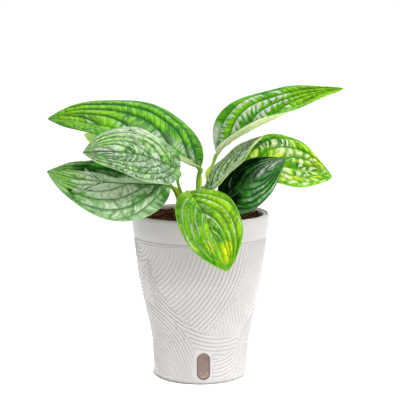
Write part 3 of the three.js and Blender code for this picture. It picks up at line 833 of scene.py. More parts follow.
def make_blade(name, blade, rows, columns, seed, materials, relief=1.0, cell_relief=1.0,
               starts=VEIN_STARTS, course=VEIN_COURSE, pitch=CELL_PITCH):
    """The leaf's closed skin, with what its nodes need to draw the veins as attributes."""
    t = np.linspace(0, 1, rows + 2)[1:-1]
    u = t ** 1.25 * 0.5 + t * 0.5
    v = np.sin(np.linspace(-1, 1, columns + 1) * 1.2) / math.sin(1.2)
    middle = columns // 2
    v[middle] = 0
    x, vv = np.meshgrid(u, v, indexing="ij")
    place, normal = blade.places(x, vv)
    steps = np.linalg.norm(np.diff(place, axis=1), axis=-1)
    reach = np.concatenate([np.zeros((rows, 1)), np.cumsum(steps, axis=1)], axis=1)
    reach = np.abs(reach - reach[:, middle:middle + 1])
    edge_mm = np.where(vv > 0, reach[:, -1:], reach[:, :1]) - reach
    start = vein_start(x, np.abs(vv) * (1 + 0.05 * waves(place, 0.035, seed + 3)), course)
    step_x, start_x = (np.gradient(grid, u, axis=0) for grid in (place, start))
    step_v, start_v = (np.gradient(grid, v, axis=1) for grid in (place, start))
    e, f, g = (step_x ** 2).sum(-1), (step_x * step_v).sum(-1), (step_v ** 2).sum(-1)
    slope = g * start_x ** 2 - 2 * f * start_x * start_v + e * start_v ** 2
    slope = np.sqrt(np.maximum(slope / np.maximum(e * g - f * f, 1e-9), 1e-9))
    marks = np.array([-0.45, *starts, 1.0])
    row = np.interp(start, marks, np.arange(len(marks)))
    share = row - np.floor(row)
    apart = np.min(np.abs(start[..., None] - marks[1:-1]), axis=-1)
    vein_mm = np.minimum(apart / slope, 30)
    rung = vein_run(blade, x, start, vv > 0, course) / pitch + 0.55 * waves(place, 0.06, seed)
    rung += 0.4 * np.sin(2.4 * row + seed) + CELL_SLANT * share

    arch = np.sin(math.pi * share) ** 0.75
    edge_fall = 1 - np.clip((np.abs(vv) - 0.86) / 0.14, 0, 1) ** 2
    near_ends = np.clip(x / 0.06, 0, 1) * np.clip((1 - x) / 0.12, 0, 1)
    inner = np.clip(reach / 2.5, 0, 1) * near_ends
    quilt = QUILT_HEIGHT * relief * arch * edge_fall * inner
    quilt *= np.clip(0.35 + 0.054 / np.maximum(slope, 1e-3), 0.35, 1.0)
    cell_arch = 0.5 + 0.5 * np.cos(2 * math.pi * rung)
    cells = CELL_HEIGHT * cell_relief * (cell_arch ** 0.6 - 0.6) * arch ** 0.5 * edge_fall * inner
    bumps = CELL_BUMPS * cell_relief * waves(place, 0.3, seed + 5) * inner * arch
    groove = VEIN_DEPTH * np.exp(-(vein_mm / VEIN_WIDTH) ** 2) * (0.2 + 0.8 * edge_fall) * near_ends
    taper = np.clip(1.25 - x, 0, 1)
    midrib = np.exp(-(reach / (MIDRIB_WIDTH * (0.5 + taper))) ** 2)
    midrib *= np.clip((1 - x) / 0.08, 0, 1) * taper
    wave = EDGE_WAVE * np.abs(vv) ** 3 * np.sin(14 * x + 2 * np.sign(vv)) * near_ends
    vein_keel = VEIN_KEEL * np.exp(-(vein_mm / 0.9) ** 2) * edge_fall * near_ends
    upper = quilt + cells + bumps - groove - MIDRIB_DEPTH * midrib + wave
    lower = quilt + 0.8 * cells + wave - MIDRIB_KEEL * midrib - vein_keel
    edge = np.clip((1 - np.abs(vv)) / 0.06, 0, 1) ** 0.5
    half = (MARGIN_THICKNESS + (BLADE_THICKNESS - MARGIN_THICKNESS) * edge) / 2

    # One ring of points for each row: over the upper face, round the right margin, back under
    # the lower face and round the left margin. Two points close each end.
    upper_skin = place + normal * (upper + half)[..., None]
    lower_skin = place + normal * (lower - half)[..., None]
    margin = unit(np.gradient(place, axis=1)) * MARGIN_THICKNESS * 0.45
    rims = (upper_skin + lower_skin) / 2
    skin = np.concatenate([
        upper_skin, (rims + margin)[:, -1:], lower_skin[:, ::-1], (rims - margin)[:, :1]], axis=1)
    ends, end_normals = blade.places(np.array([0.0, 1.0]), np.array([0.0, 0.0]))
    lift = end_normals * np.array([[0.3], [0.2]])
    points = np.concatenate([skin.reshape(-1, 3), ends + lift, ends - lift])
    sides = 2 * columns + 4
    right, left = columns + 1, sides - 1
    below = [int(right <= side < left) for side in range(sides)]
    faces = ring_faces(rows, sides)
    kinds = below * (rows - 1)
    base, last = rows * sides, (rows - 1) * sides
    for side, under in enumerate(below):
        beside, end = (side + 1) % sides, base + 2 * under
        faces += [(end, beside, side), (end + 1, last + side, last + beside)]
        kinds += [under, under]
    faces += [
        (base + 2, base, left), (base + 2, right, base),
        (base + 3, last + left, base + 1), (base + 3, base + 1, last + right)]
    kinds += [0] * 4
    piece = new_piece(name, points, faces, *materials)
    piece.data.polygons.foreach_set("material_index", kinds)
    grids = {"row": row, "rung": rung, "across": vv, "along": x, "vein_mm": vein_mm,
             "midrib_mm": np.where(vv < 0, -reach, reach), "edge_mm": edge_mm}
    for key, grid in grids.items():
        ring = np.concatenate([grid, grid[:, -1:], grid[:, ::-1], grid[:, :1]], axis=1)
        set_attribute(piece, key, [*ring.ravel(), *[grid[0, middle], grid[-1, middle]] * 2])
    return piece


def patch(where, middle, size):
    """1 in the middle of a soft oval patch of the blade, with a ragged edge, and 0 outside it."""
    along, across, cloud = where
    dx = (along - middle[0]) / size[0]
    dv = (across - middle[1]) / size[1]
    far = calc("SQRT", dx * dx + dv * dv)
    return fade(far + (cloud - 0.5) * 0.9, 0.4, 1.05, 1.0, 0.0)


def crease_distance(along, across, start, end, size):
    """How many times its half width a place is away from a straight crease of the blade."""
    length, half_width, wide = size
    way = np.array([(end[0] - start[0]) * length, (end[1] - start[1]) * half_width])
    whole = float(np.linalg.norm(way))
    way /= whole
    dx = (along - start[0]) * length
    dy = (across - start[1]) * half_width
    gone = dx * way[0] + dy * way[1]
    aside = abs(dx * way[1] - dy * way[0])
    beyond = calc("MAXIMUM", calc("MAXIMUM", gone * -1.0, gone - whole), 0.0)
    return (aside + gone * (0.45 * wide / whole) + beyond) / wide


def leaf_noise(row, rung, side, stretch, detail=3.0):
    """Noise that is drawn out along the side veins, different in each half of the blade."""
    place = add_node(
        row.tree, "CombineXYZ", X=row * stretch[0], Y=rung * stretch[1], Z=side * 7.3)
    return add_node(row.tree, "TexNoise", "Fac", Vector=place, Scale=1.0, Detail=detail)


def toned(colour, amount):
    """A screen colour made darker or lighter."""
    return tuple(value * amount for value in colour)


def leaf_material(name, deep, mid, light, vein, silver, zones=(), silver_zones=(), cover=0.0,
                  silver_reach=0.6, teeth=0.7, sheen=0.0, cross=0.35, halo=0.5, vein_width=0.8,
                  pale_lines=0.0, flecks=0.0, fleck_size=(7.0, 1.1), low_flecks=None, painted_shade_and_patches=(),
                  patchwork=0.16, bars=(0.1, 0.5), barred=(), ragged=0.9, grain=(1.3, 0.5),
                  feathery=0.6, creases=(), midrib_line=None, midrib_width=0.8, edge_line=None,
                  gloss=0.36, shine=0.25, glow=0.0, seed=0.0):
    """The upper face: green flesh between sunken veins, with silver marks that comb out from them."""
    material, tree, inputs = new_material(
        name, gloss, Specular_IOR_Level=shine, Emission_Strength=glow)
    row, rung, across, along, vein_mm, midrib_mm, edge_mm = (
        attribute(tree, key)
        for key in ("row", "rung", "across", "along", "vein_mm", "midrib_mm", "edge_mm"))
    share = calc("FRACT", row)
    centred = abs(share - 0.5)
    cell = calc("FLOOR", rung + 0.5)
    in_cell = abs(rung - cell)
    side = calc("GREATER_THAN", across, 0.0) + seed
    place = add_node(tree, "CombineXYZ", X=calc("FLOOR", row), Y=cell, Z=side)
    first, second, third = split(
        add_node(tree, "TexWhiteNoise", "Color", noise_dimensions="3D", Vector=place))
    cloud = noise_value(tree, 60.0, 4.0)
    fine = noise_value(tree, 330.0, 5.0)
    soft = leaf_noise(row, rung, side, grain)
    feather = leaf_noise(row, rung, side, (1.2, 5.0))
    where = along, across, cloud

    # The flesh is lighter in the middle of each panel and darker towards its veins: partly the leaf's
    # own colour, partly painted light on the raised quilting and painted shade in the sunken veins.
    tone = cloud * 0.7 + 0.3 - centred * 0.42 + (soft - 0.5) * 0.7 + (fine - 0.5) * 0.35
    tone += (feather - 0.5) * feathery + (first - 0.5) * patchwork
    colour = ramp(tone, (0.36, deep), (0.56, mid), (0.8, light))
    for zone, middle, size, amount in zones:
        shade = ramp(tone, (0.3, toned(zone, 0.72)), (0.66, zone))
        colour = mixed(patch(where, middle, size) * amount, colour, shade)
    # A soft silvery tint over the flesh: partly the blade's silvering, partly a painted sheen of light
    # on its gloss.
    if sheen:
        colour = mixed(fade(soft, 0.35, 0.62) * sheen, colour, silver)
    gap = fade(in_cell, 0.33, 0.5) * fade(centred, 0.5, 0.3)
    colour = mixed(gap * cross, colour, vein)

    coverage = cover
    for middle, size, amount in silver_zones:
        coverage = patch(where, middle, size) * amount + coverage
    there = fade(soft + (third - 0.5) * 0.22 + coverage, 0.93, 1.07)
    comb = 1.0 - fade(in_cell, *bars) * teeth
    length = (second * 0.6 + 0.5) * comb * silver_reach + (feather - 0.5) * ragged
    mask = fade(share, 0.04, 0.11) * fade(length - share, -0.04, 0.1) * there
    dark = fade(vein_mm, vein_width * 0.6, vein_width * 3, 1.0, 0.0) * halo
    colour = mixed(dark * fade(along, 0.65, 0.9, 1.0, 0.2), colour, deep)
    if pale_lines:
        wide = vein_mm - (leaf_noise(row, rung, side, (2.1, 0.5)) - 0.44) * 7.0
        beside = fade(vein_mm, 0.2, 0.5) * fade(wide, 0.5, 0.9, 1.0, 0.0)
        beside *= calc("LESS_THAN", share, 0.5)
        beside *= fade(along, 0.55, 0.8, pale_lines, 0.12 * pale_lines)
        mask = calc("MAXIMUM", mask, beside)
    if flecks:
        streak = leaf_noise(row, rung, side, fleck_size, 2.0)
        if low_flecks:
            short = leaf_noise(row, rung, side, low_flecks, 2.0)
            streak += calc("LESS_THAN", across, 0.0) * (short - streak)
        streak = fade(streak + (coverage - cover), 0.52, 0.62, 0.0, flecks)
        mask = calc("MAXIMUM", mask, streak)
    for middle, size, often in barred:
        here = fade(patch(where, middle, size), 0.1, 0.5)
        bar = abs(calc("FRACT", rung * often + soft * 0.3) - 0.5)
        bar = fade(bar, 0.2, 0.32) * fade(centred, 0.48, 0.34)
        mask += here * (bar - mask)
    mask *= fade(edge_mm, 0.5, 1.6, 0.0, 0.92)
    colour = mixed(mask, colour, ramp(fine, (0.3, toned(silver, 0.86)), (0.62, silver)))
    line = fade(vein_mm, vein_width * 0.35, vein_width, 0.9, 0.0)
    line *= fade(abs(across), 0.8, 0.97, 1.0, 0.25) * fade(along, 0.7, 0.95, 1.0, 0.3)
    colour = mixed(line, colour, vein)

    # Patches painted over all else. Some are painted shade where other leaves shadow the blade, and
    # inside every patch the specular level drops, which paints that shade onto the gloss too; the others
    # are pale or green patches of the blade's own colours.
    dim = 0.0
    for late_colour, middle, size, amount in painted_shade_and_patches:
        inside = patch(where, middle, size) * amount
        dim = calc("MAXIMUM", dim, inside)
        colour = mixed(inside * (1.0 - mask * 0.25), colour, late_colour)
    if painted_shade_and_patches:
        feed(inputs["Specular IOR Level"], shine - dim * (0.85 * shine))
    if midrib_line:
        rib = fade(abs(midrib_mm), midrib_width * 0.5, midrib_width, 1.0, 0.0)
        colour = mixed(rib, colour, midrib_line)
    # Each crease is a dark line with a pale band beside it: painted shade in the fold and a painted
    # highlight along it.
    for start, end, size, dark, pale in creases:
        near = crease_distance(along, across, start, end, size)
        colour = mixed(fade(near, 0.7, 1.5, 0.7, 0.0), colour, pale)
        colour = mixed(fade(near, 0.3, 0.7, 0.95, 0.0), colour, dark)
    if edge_line:
        colour = mixed(fade(edge_mm, 0.35, 0.9, 1.0, 0.0), colour, edge_line)
    feed(inputs["Base Color"], colour)
    # A glow above nought makes the face give off its own colour: painted light, which on the small back
    # leaf stands for light coming through the thin blade.
    feed(inputs["Emission Color"], colour)
    feed(inputs["Roughness"], fine * 0.16 + (gloss - 0.08))
    height = noise_value(tree, 900.0, 3.0) * 0.3 + fine * 0.6 + feather * 1.6
    bump(inputs, height, 0.6, 0.0007)
    return material


def underside_material(name, flesh, rib, glow=0.0):
    """The lower face: pale matt green with the veins standing out in a lighter tone."""
    material, tree, inputs = new_material(
        name, 0.5, Specular_IOR_Level=0.35, Emission_Strength=glow)
    row, rung, vein_mm, midrib_mm = (
        attribute(tree, key) for key in ("row", "rung", "vein_mm", "midrib_mm"))
    share = calc("FRACT", row)
    fine = noise_value(tree, 260.0, 4.0)
    streak = leaf_noise(row, rung, share, (5.0, 0.12), 2.0)
    tone = abs(share - 0.5) * 0.5 + fine * 0.5 + streak * 1.2 - 0.35
    colour = ramp(tone, (0.35, toned(flesh, 0.76)), (0.85, flesh))
    colour = mixed(fade(vein_mm, 0.4, 1.1, 1.0, 0.0), colour, rib)
    colour = mixed(fade(abs(midrib_mm), 1.0, 1.9, 1.0, 0.0), colour, rib)
    feed(inputs["Base Color"], colour)
    # A glow above nought makes the face give off its own colour: painted light that stands for light
    # coming through the thin blade.
    feed(inputs["Emission Color"], colour)
    bump(inputs, fine, 0.3, 0.0005)
    return material


def petiole_material(name, green, yellow):
    """The stalk: smooth green with fine streaks, yellower at its knee and at its foot."""
    material, tree, inputs = new_material(name, 0.42, Specular_IOR_Level=0.45)
    streak = noise_value(tree, 350.0, 4.0, (1, 1, 0.2))
    colour = ramp(streak, (0.3, green), (0.75, toned(green, 1.12)))
    ends = fade(abs(attribute(tree, "share") - 0.5), 0.3, 0.5)
    feed(inputs["Base Color"], mixed(ends, colour, yellow))
    bump(inputs, streak, 0.25, 0.0004)
    return material


petiole_skin = petiole_material("petiole", PETIOLE_GREEN, PETIOLE_YELLOW)
sheath_skin = petiole_material("sheath", SHEATH_DRY, SHEATH_PALE)


def make_petiole(name, blade, stem, height, turn, radius, knee=0, skin=petiole_skin):
    """A stalk that rises beside its stem, swings over and runs into the back of its blade."""
    turned = math.radians(turn)
    way = np.array([math.cos(turned), math.sin(turned), 0.0])
    up = np.array([0, 0, 1])
    reach = stem["radius"] + radius + PETIOLE_GAP
    start = stem_axis(stem, height) + way * reach
    end = blade.base - blade.base_way * 0.65 - up * KNEE_DROP * knee
    span = np.linalg.norm(end - start)
    rise = start + way * 0.1 * span + up * 0.45 * span
    back = end + blade.base_way * (knee - 0.14) * span - up * (0.08 + 0.7 * knee) * span
    swing = bezier((start, rise, back, end), np.linspace(0, 1, PETIOLE_STEPS))
    tail = blade.read(blade.line, PETIOLE_END)
    tail -= blade.read(blade.up, PETIOLE_END) * np.array([[0.9], [1.0], [0.95]])
    root = [start - way * reach * 0.75 - up * 2.6, start - way * reach * 0.35 - up * 1.2]
    centres = np.concatenate([root, swing, tail])
    t = np.concatenate([[0, 0], np.linspace(0, 1, PETIOLE_STEPS), [1, 1, 1]])
    radii = radius * (1 + 0.1 * (1 - t) - 0.25 * np.sin(math.pi * t))
    radii += 0.12 * radius * np.exp(-((t - 0.93) / 0.05) ** 2)
    radii[-3:] *= (0.8, 0.5, 0.22)
    radii[0] *= 1.25
    piece = rod(f"petiole_{name}_stalk", centres, radii, PETIOLE_SIDES, skin, 0.1, turn)
    seat(piece, f"petiole_{name}")
    return centres


def make_sheath(name, stalk, low, high, way):
    """A dry scrap of the sheath that once wrapped a stalk, standing off it on one side."""
    beside = stalk[(stalk[:, 2] > low) & (stalk[:, 2] < high)]
    t = np.linspace(0, 1, len(beside))
    stand_off = np.array(way) * (0.25 + 0.75 * np.sin(math.pi * (0.25 + 0.6 * t)))[:, None]
    radii = SHEATH_SPREAD * (0.15 + np.sin(math.pi * t))
    piece = rod(f"petiole_{name}_sheath", beside + stand_off, radii, SHEATH_SIDES, sheath_skin)
    seat(piece)


def make_leaf(name, rows, columns, seed, shape, stalk, under, upper, **relief):
    """One leaf, its blade and its stalk. The middle line of the stalk is returned."""
    blade = Blade(**shape)
    materials = (
        leaf_material(f"leaf_{name}_upper", seed=seed, **upper),
        underside_material(f"leaf_{name}_under", *under))
    piece = make_blade(f"leaf_{name}_blade", blade, rows, columns, seed, materials, **relief)
    seat(piece, f"leaf_{name}")
    return make_petiole(name, blade, **stalk)


left_top_stalk = make_leaf(
    "left_top", 200, 100, 1,
    shape=dict(
        midrib=((0, 9, 197), (-30, 7, 220), (-90, 8, 241), (-145, 8, 244)),
        face=((5, 50), (-10, 50)), width=(42, 44), fold=((45, 15), (25, 7)), curl=(6, 14),
        widest=0.41, blunt=0.86),
    stalk=dict(stem=STEM_MIDDLE, height=166, turn=138, radius=2.4, knee=0.28),
    under=((156, 188, 112), (192, 210, 148)),
    upper=dict(
        deep=(30, 116, 4), mid=(86, 170, 6), light=(130, 202, 12), vein=(38, 98, 44),
        silver=(180, 208, 170), cover=0.3, silver_reach=0.7, cross=0.55, patchwork=0.24,
        halo=0.5, ragged=0.8, grain=(1.8, 1.1), feathery=0.8, edge_line=(56, 124, 44),
        vein_width=1.05, midrib_line=(62, 116, 66), midrib_width=1.1,
        silver_zones=(((0.25, 0.3), (0.3, 0.3), 0.15), ((0.65, 0.15), (0.2, 0.2), 0.15)),
        zones=(
            ((166, 194, 150), (0.12, 0.22), (0.2, 0.18), 0.95),
            ((128, 178, 96), (0.35, 0.28), (0.25, 0.14), 0.6),
            ((150, 180, 130), (0.15, -0.5), (0.3, 0.6), 0.8),
            ((112, 198, 12), (0.3, 0.9), (0.6, 0.26), 0.85),
            ((156, 226, 30), (0.88, 0.2), (0.34, 1.2), 0.75),
        ),
        painted_shade_and_patches=(
            ((172, 188, 134), (0.05, -0.62), (0.2, 0.62), 1.0),
            ((146, 190, 70), (0.05, -0.1), (0.16, 0.14), 0.9),
        )),
    starts=(0.02, 0.09, 0.22, 0.44, 0.68))
make_sheath("left_top", left_top_stalk, 178, 191, (2.9, -0.6, 0))

# The middle left leaf: a thick blade and its stalk, silvery grey-green. The cells between its
# side veins are marked with rows of short pale bars.
make_leaf(
    "left_middle", 180, 90, 2,
    shape=dict(
        midrib=((-19, -39, 199), (-42, -49, 214), (-65, -72, 222), (-103, -75, 219)),
        face=((-15, 47), (-10, 35)), width=(30, 33), fold=((10, 8), (8, 14)), curl=(17, 20),
        widest=0.37, blunt=0.83),
    stalk=dict(stem=STEM_LEFT, height=163, turn=262, radius=1.7, knee=0.36),
    under=((150, 184, 120), (190, 208, 150)),
    upper=dict(
        deep=(44, 112, 14), mid=(92, 162, 38), light=(150, 206, 76), vein=(54, 108, 42),
        silver=(220, 230, 208), cover=0.33, silver_reach=0.75, sheen=0.3, flecks=0.9,
        fleck_size=(4.0, 0.55), low_flecks=(2.4, 2.6), teeth=0.8, halo=0.1, ragged=0.5,
        feathery=0.5, patchwork=0.3, bars=(0.2, 0.42), grain=(2.2, 1.2), vein_width=0.7,
        edge_line=(170, 200, 154), midrib_line=(56, 102, 48), midrib_width=1.0,
        silver_zones=(
            ((0.5, 0.85), (0.45, 0.25), 0.1), ((0.5, -0.36), (0.6, 0.42), -0.04),
            ((0.1, 0.0), (0.16, 1.2), -0.2),
        ),
        zones=(
            ((140, 222, 40), (0.84, 0.4), (0.16, 0.4), 0.95),
            ((146, 214, 98), (0.93, 0.0), (0.2, 1.2), 0.9),
            ((122, 180, 40), (0.45, 0.5), (0.35, 0.12), 0.8),
            ((88, 140, 80), (0.55, -0.3), (0.42, 0.36), 0.7),
            ((92, 138, 84), (0.2, -0.5), (0.2, 0.6), 0.9),
            ((98, 148, 86), (0.04, -0.7), (0.2, 0.6), 0.95),
            ((84, 160, 50), (0.03, 0.0), (0.1, 1.0), 0.9),
            ((72, 136, 56), (0.84, -0.16), (0.16, 0.12), 0.7),
            ((222, 230, 214), (0.8, 0.1), (0.2, 0.1), 1.0),
        )))

# The lower left leaf: a broad blade and its stalk, silvery between dark side veins, with a pale
# margin and two creases where the blade was once bent, each painted as a dark line of shade with a
# pale painted highlight beside it. A painted shadow of the leaf above lies across its upper half.
left_low_stalk = make_leaf(
    "left_low", 190, 100, 3,
    shape=dict(
        midrib=((-28, -34, 185), (-59, -52, 190), (-100, -52, 187), (-137, -60, 201)),
        face=((-10, 50), (-10, 55)), width=(39, 36), fold=((-3, 8), (0, 5)), curl=(33, 19),
        widest=0.42, blunt=0.9),
    stalk=dict(stem=STEM_LEFT, height=158, turn=222, radius=1.8),
    under=((160, 190, 130), (196, 212, 160)),
    upper=dict(
        deep=(74, 144, 46), mid=(130, 186, 98), light=(176, 214, 146), vein=(80, 138, 82),
        silver=(214, 232, 202), cover=0.44, silver_reach=1.0, teeth=0.7, sheen=0.35, halo=0.2,
        ragged=0.4, feathery=0.3, patchwork=0.3, bars=(0.2, 0.45), grain=(2.0, 1.1),
        edge_line=(150, 194, 132), vein_width=0.8, midrib_line=(50, 104, 60),
        silver_zones=(
            ((0.42, -0.2), (0.3, 0.3), 0.2), ((0.65, 0.15), (0.2, 0.16), 0.4),
            ((0.9, 0.0), (0.2, 1.2), -0.4), ((0.36, 0.55), (0.3, 0.5), -0.3),
        ),
        zones=(
            ((150, 232, 60), (0.88, -0.1), (0.26, 1.2), 0.95),
            ((60, 160, 14), (0.7, -0.9), (0.2, 0.16), 0.9),
            ((168, 206, 150), (0.4, -0.85), (0.3, 0.22), 0.6),
            # These two pale patches are partly silvering and partly painted light that lifts the middle
            # of the blade where the leaf above shades it.
            ((204, 230, 188), (0.5, -0.3), (0.36, 0.34), 0.8),
            ((228, 255, 206), (0.55, -0.16), (0.3, 0.24), 0.9),
            ((52, 136, 24), (0.1, -0.9), (0.14, 0.3), 0.8),
            ((72, 168, 30), (0.24, -0.42), (0.16, 0.1), 0.8),
        ),
        # The first patch is a painted shadow that the middle left leaf casts on this blade, and the pale
        # patch beside the midrib is silvering made lighter where that shadow falls, so partly painted
        # light; the others are the blade's own colours.
        painted_shade_and_patches=(
            ((4, 80, 0), (0.5, 0.6), (0.44, 0.5), 1.0),
            ((72, 166, 24), (0.56, 0.66), (0.14, 0.16), 0.9),
            ((214, 232, 204), (0.34, 0.08), (0.28, 0.1), 0.85),
            ((206, 228, 192), (0.74, 0.25), (0.16, 0.1), 0.7),
            ((14, 84, 10), (0.79, -0.7), (0.05, 0.14), 1.0),
        ),
        creases=(
            ((0.57, -0.02), (0.78, -0.66), (118, 38, 1.7), (40, 88, 48), (204, 220, 198)),
            ((0.57, 0.02), (0.7, 0.44), (118, 36, 1.5), (30, 84, 34), (214, 226, 208)),
        )),
    relief=1.2, starts=(0.02, 0.09, 0.2, 0.36, 0.54, 0.74), course=(0.15, 0.24, 0.35))
make_sheath("left_low", left_low_stalk, 172, 184, (2.6, -0.5, 0.6))

# The small leaf behind on the left: a light yellow-green blade and its stalk, mostly hidden by
# the others. The light from behind comes through it, which a weak glow stands for.
make_leaf(
    "left_back", 120, 60, 4,
    shape=dict(
        midrib=((-34, 2, 188), (-55, -2, 200), (-83, -6, 215), (-109, -8, 231)),
        face=((-10, 50), (-10, 45)), width=(19, 20), fold=((10, 10), (8, 8)), curl=(12, 12),
        widest=0.4, blunt=0.86),
    stalk=dict(stem=STEM_LEFT, height=161, turn=138, radius=1.5),
    under=((236, 242, 190), (210, 226, 150)),
    upper=dict(
        deep=(220, 250, 150), mid=(236, 254, 184), light=(250, 255, 214), vein=(140, 196, 40),
        silver=(248, 254, 230), cover=0.4, glow=0.2))

# The front leaf, which hangs over the rim on its stalk: vivid green and glossy, with yellow
# blotches, long silver streaks along its side veins and a thin pale midrib.
make_leaf(
    "front", 180, 90, 5,
    shape=dict(
        midrib=((-11, -58, 182), (-3, -74, 177), (13, -88, 147), (24, -87, 116)),
        face=((10, 50), (12, 5)), width=(31, 27), fold=((14, 16), (7, 8)), curl=(16, 9),
        widest=0.43, blunt=0.84),
    stalk=dict(stem=STEM_MIDDLE, height=160, turn=240, radius=1.7),
    under=((168, 200, 110), (200, 216, 150)),
    upper=dict(
        deep=(50, 134, 0), mid=(98, 174, 0), light=(154, 206, 0), vein=(92, 166, 12),
        silver=(206, 222, 168), cover=0.2, pale_lines=0.78, halo=0.14, cross=0.25,
        patchwork=0.34, midrib_line=(150, 196, 70), midrib_width=0.5,
        edge_line=(116, 184, 14), gloss=0.28, shine=0.15,
        # The first silver patch, beside the midrib, is partly a painted highlight of the gloss there.
        silver_zones=(((0.5, -0.12), (0.25, 0.14), 0.3), ((0.25, -0.3), (0.15, 0.3), 0.3)),
        zones=(
            ((232, 236, 0), (0.78, -0.34), (0.1, 0.32), 0.95),
            ((216, 228, 0), (0.7, 0.3), (0.1, 0.24), 0.9),
            ((204, 222, 0), (0.88, -0.1), (0.06, 0.5), 0.8),
            ((92, 160, 0), (0.36, 0.65), (0.45, 0.5), 0.85),
            ((156, 212, 20), (0.45, -0.65), (0.5, 0.5), 0.85),
            ((54, 134, 16), (0.34, 0.2), (0.18, 0.22), 0.8),
            ((112, 156, 72), (0.4, -0.12), (0.22, 0.14), 0.8),
            ((140, 198, 20), (0.03, -0.2), (0.14, 1.2), 0.9),
            ((120, 196, 4), (0.4, -0.95), (0.4, 0.16), 0.8),
        ),
        # The crease along the lower midrib is painted shade in its groove with a painted highlight
        # beside it.
        creases=(((0.5, 0.0), (0.98, 0.0), (80, 31, 1.7), (44, 104, 14), (150, 200, 66)),)),
    relief=0.75, starts=(0.03, 0.1, 0.19, 0.32, 0.5), course=(0.12, 0.22, 0.25))

# The upper right leaf: a long blade and its stalk, folded up along its midrib. It is bright
# green, with silver combs along one side of each vein and a pale underside below the fold.
right_top_stalk = make_leaf(
    "right_top", 200, 100, 6,
    shape=dict(
        midrib=((15, 7, 210), (26, -7, 228), (79, -6, 251), (133, -10, 273)),
        face=((0, 50), (0, 52)), width=(37, 36), fold=((20, 60), (2, 36)), curl=(7, -3),
        widest=0.34, blunt=0.83, wedge=(0.03, 0.12)),
    stalk=dict(
        stem=STEM_MIDDLE, height=167, turn=85, radius=1.9, knee=0.05,
        skin=petiole_material("petiole_right_top_skin", (146, 200, 66), (180, 214, 92))),
    # The underside's weak glow is painted light, standing for light that comes through the thin blade.
    under=((238, 246, 204), (200, 218, 138), 0.06),
    upper=dict(
        deep=(56, 146, 2), mid=(100, 186, 2), light=(146, 214, 8), vein=(56, 124, 34),
        silver=(226, 234, 218), cover=0.36, silver_reach=0.85, teeth=0.85, ragged=1.3,
        halo=0.15, cross=0.1, patchwork=0.12, edge_line=(84, 164, 26), vein_width=0.6,
        shine=0.18,
        silver_zones=(
            ((0.12, -0.6), (0.2, 0.7), 0.5), ((0.3, -0.6), (0.42, 0.6), 0.3),
            ((0.6, -0.4), (0.25, 0.3), 0.25), ((0.92, 0.0), (0.34, 1.4), -0.6),
        ),
        zones=(
            ((60, 148, 8), (0.35, -0.25), (0.2, 0.2), 0.5),
            ((164, 232, 28), (0.9, 0.0), (0.4, 1.4), 0.9),
        ),
        painted_shade_and_patches=(((232, 240, 222), (0.04, -0.7), (0.12, 0.4), 0.85),)),
    starts=(0.03, 0.13, 0.28, 0.48, 0.7))
make_sheath("right_top", right_top_stalk, 186, 200, (-2.7, -0.8, 0))

# The far right leaf: a yellow-green, strongly quilted blade and its stalk, with bars of dark
# green and white along the blade's upper margin.
make_leaf(
    "right_far", 180, 90, 7,
    shape=dict(
        midrib=((36, 3, 198), (58, -3, 205), (95, -12, 196), (125, 0, 190)),
        face=((13, 50), (11, 49)), width=(38, 31), fold=((16, 12), (10, 4)), curl=(3, -10),
        widest=0.41, blunt=0.86),
    stalk=dict(stem=STEM_RIGHT, height=162, turn=45, radius=1.8),
    under=((166, 200, 108), (200, 218, 150)),
    upper=dict(
        deep=(92, 170, 4), mid=(168, 218, 16), light=(212, 236, 70), vein=(74, 154, 16),
        silver=(226, 240, 192), cover=0.41, silver_reach=1.1, teeth=1.0, bars=(0.2, 0.32),
        cross=0.7, patchwork=0.5, halo=0.3, grain=(2.0, 1.4), edge_line=(140, 204, 50),
        vein_width=0.9, shine=0.2,
        barred=(((0.3, -0.74), (0.3, 0.22), 1.6), ((0.72, 0.14), (0.16, 0.14), 1.6)),
        silver_zones=(
            ((0.3, -0.7), (0.25, 0.2), 0.5), ((0.55, 0.25), (0.2, 0.2), 0.4),
            ((0.7, -0.3), (0.3, 0.4), 0.2),
        ),
        zones=(
            ((16, 120, 2), (0.28, -0.74), (0.26, 0.2), 1.0),
            ((24, 120, 2), (0.7, -0.14), (0.25, 0.14), 0.9),
            ((20, 120, 4), (0.7, 0.2), (0.06, 0.1), 0.9),
            ((206, 228, 150), (0.5, -0.5), (0.2, 0.2), 0.7),
            ((204, 234, 0), (0.78, -0.45), (0.16, 0.3), 0.6),
            ((124, 196, 4), (0.65, 0.92), (0.4, 0.16), 0.9),
            ((110, 176, 30), (0.35, -0.97), (0.4, 0.12), 0.9),
        )),
    relief=1.4, cell_relief=2.4, starts=(0.03, 0.14, 0.34, 0.6), course=(0.12, 0.28, 0.2),
    pitch=9.0)

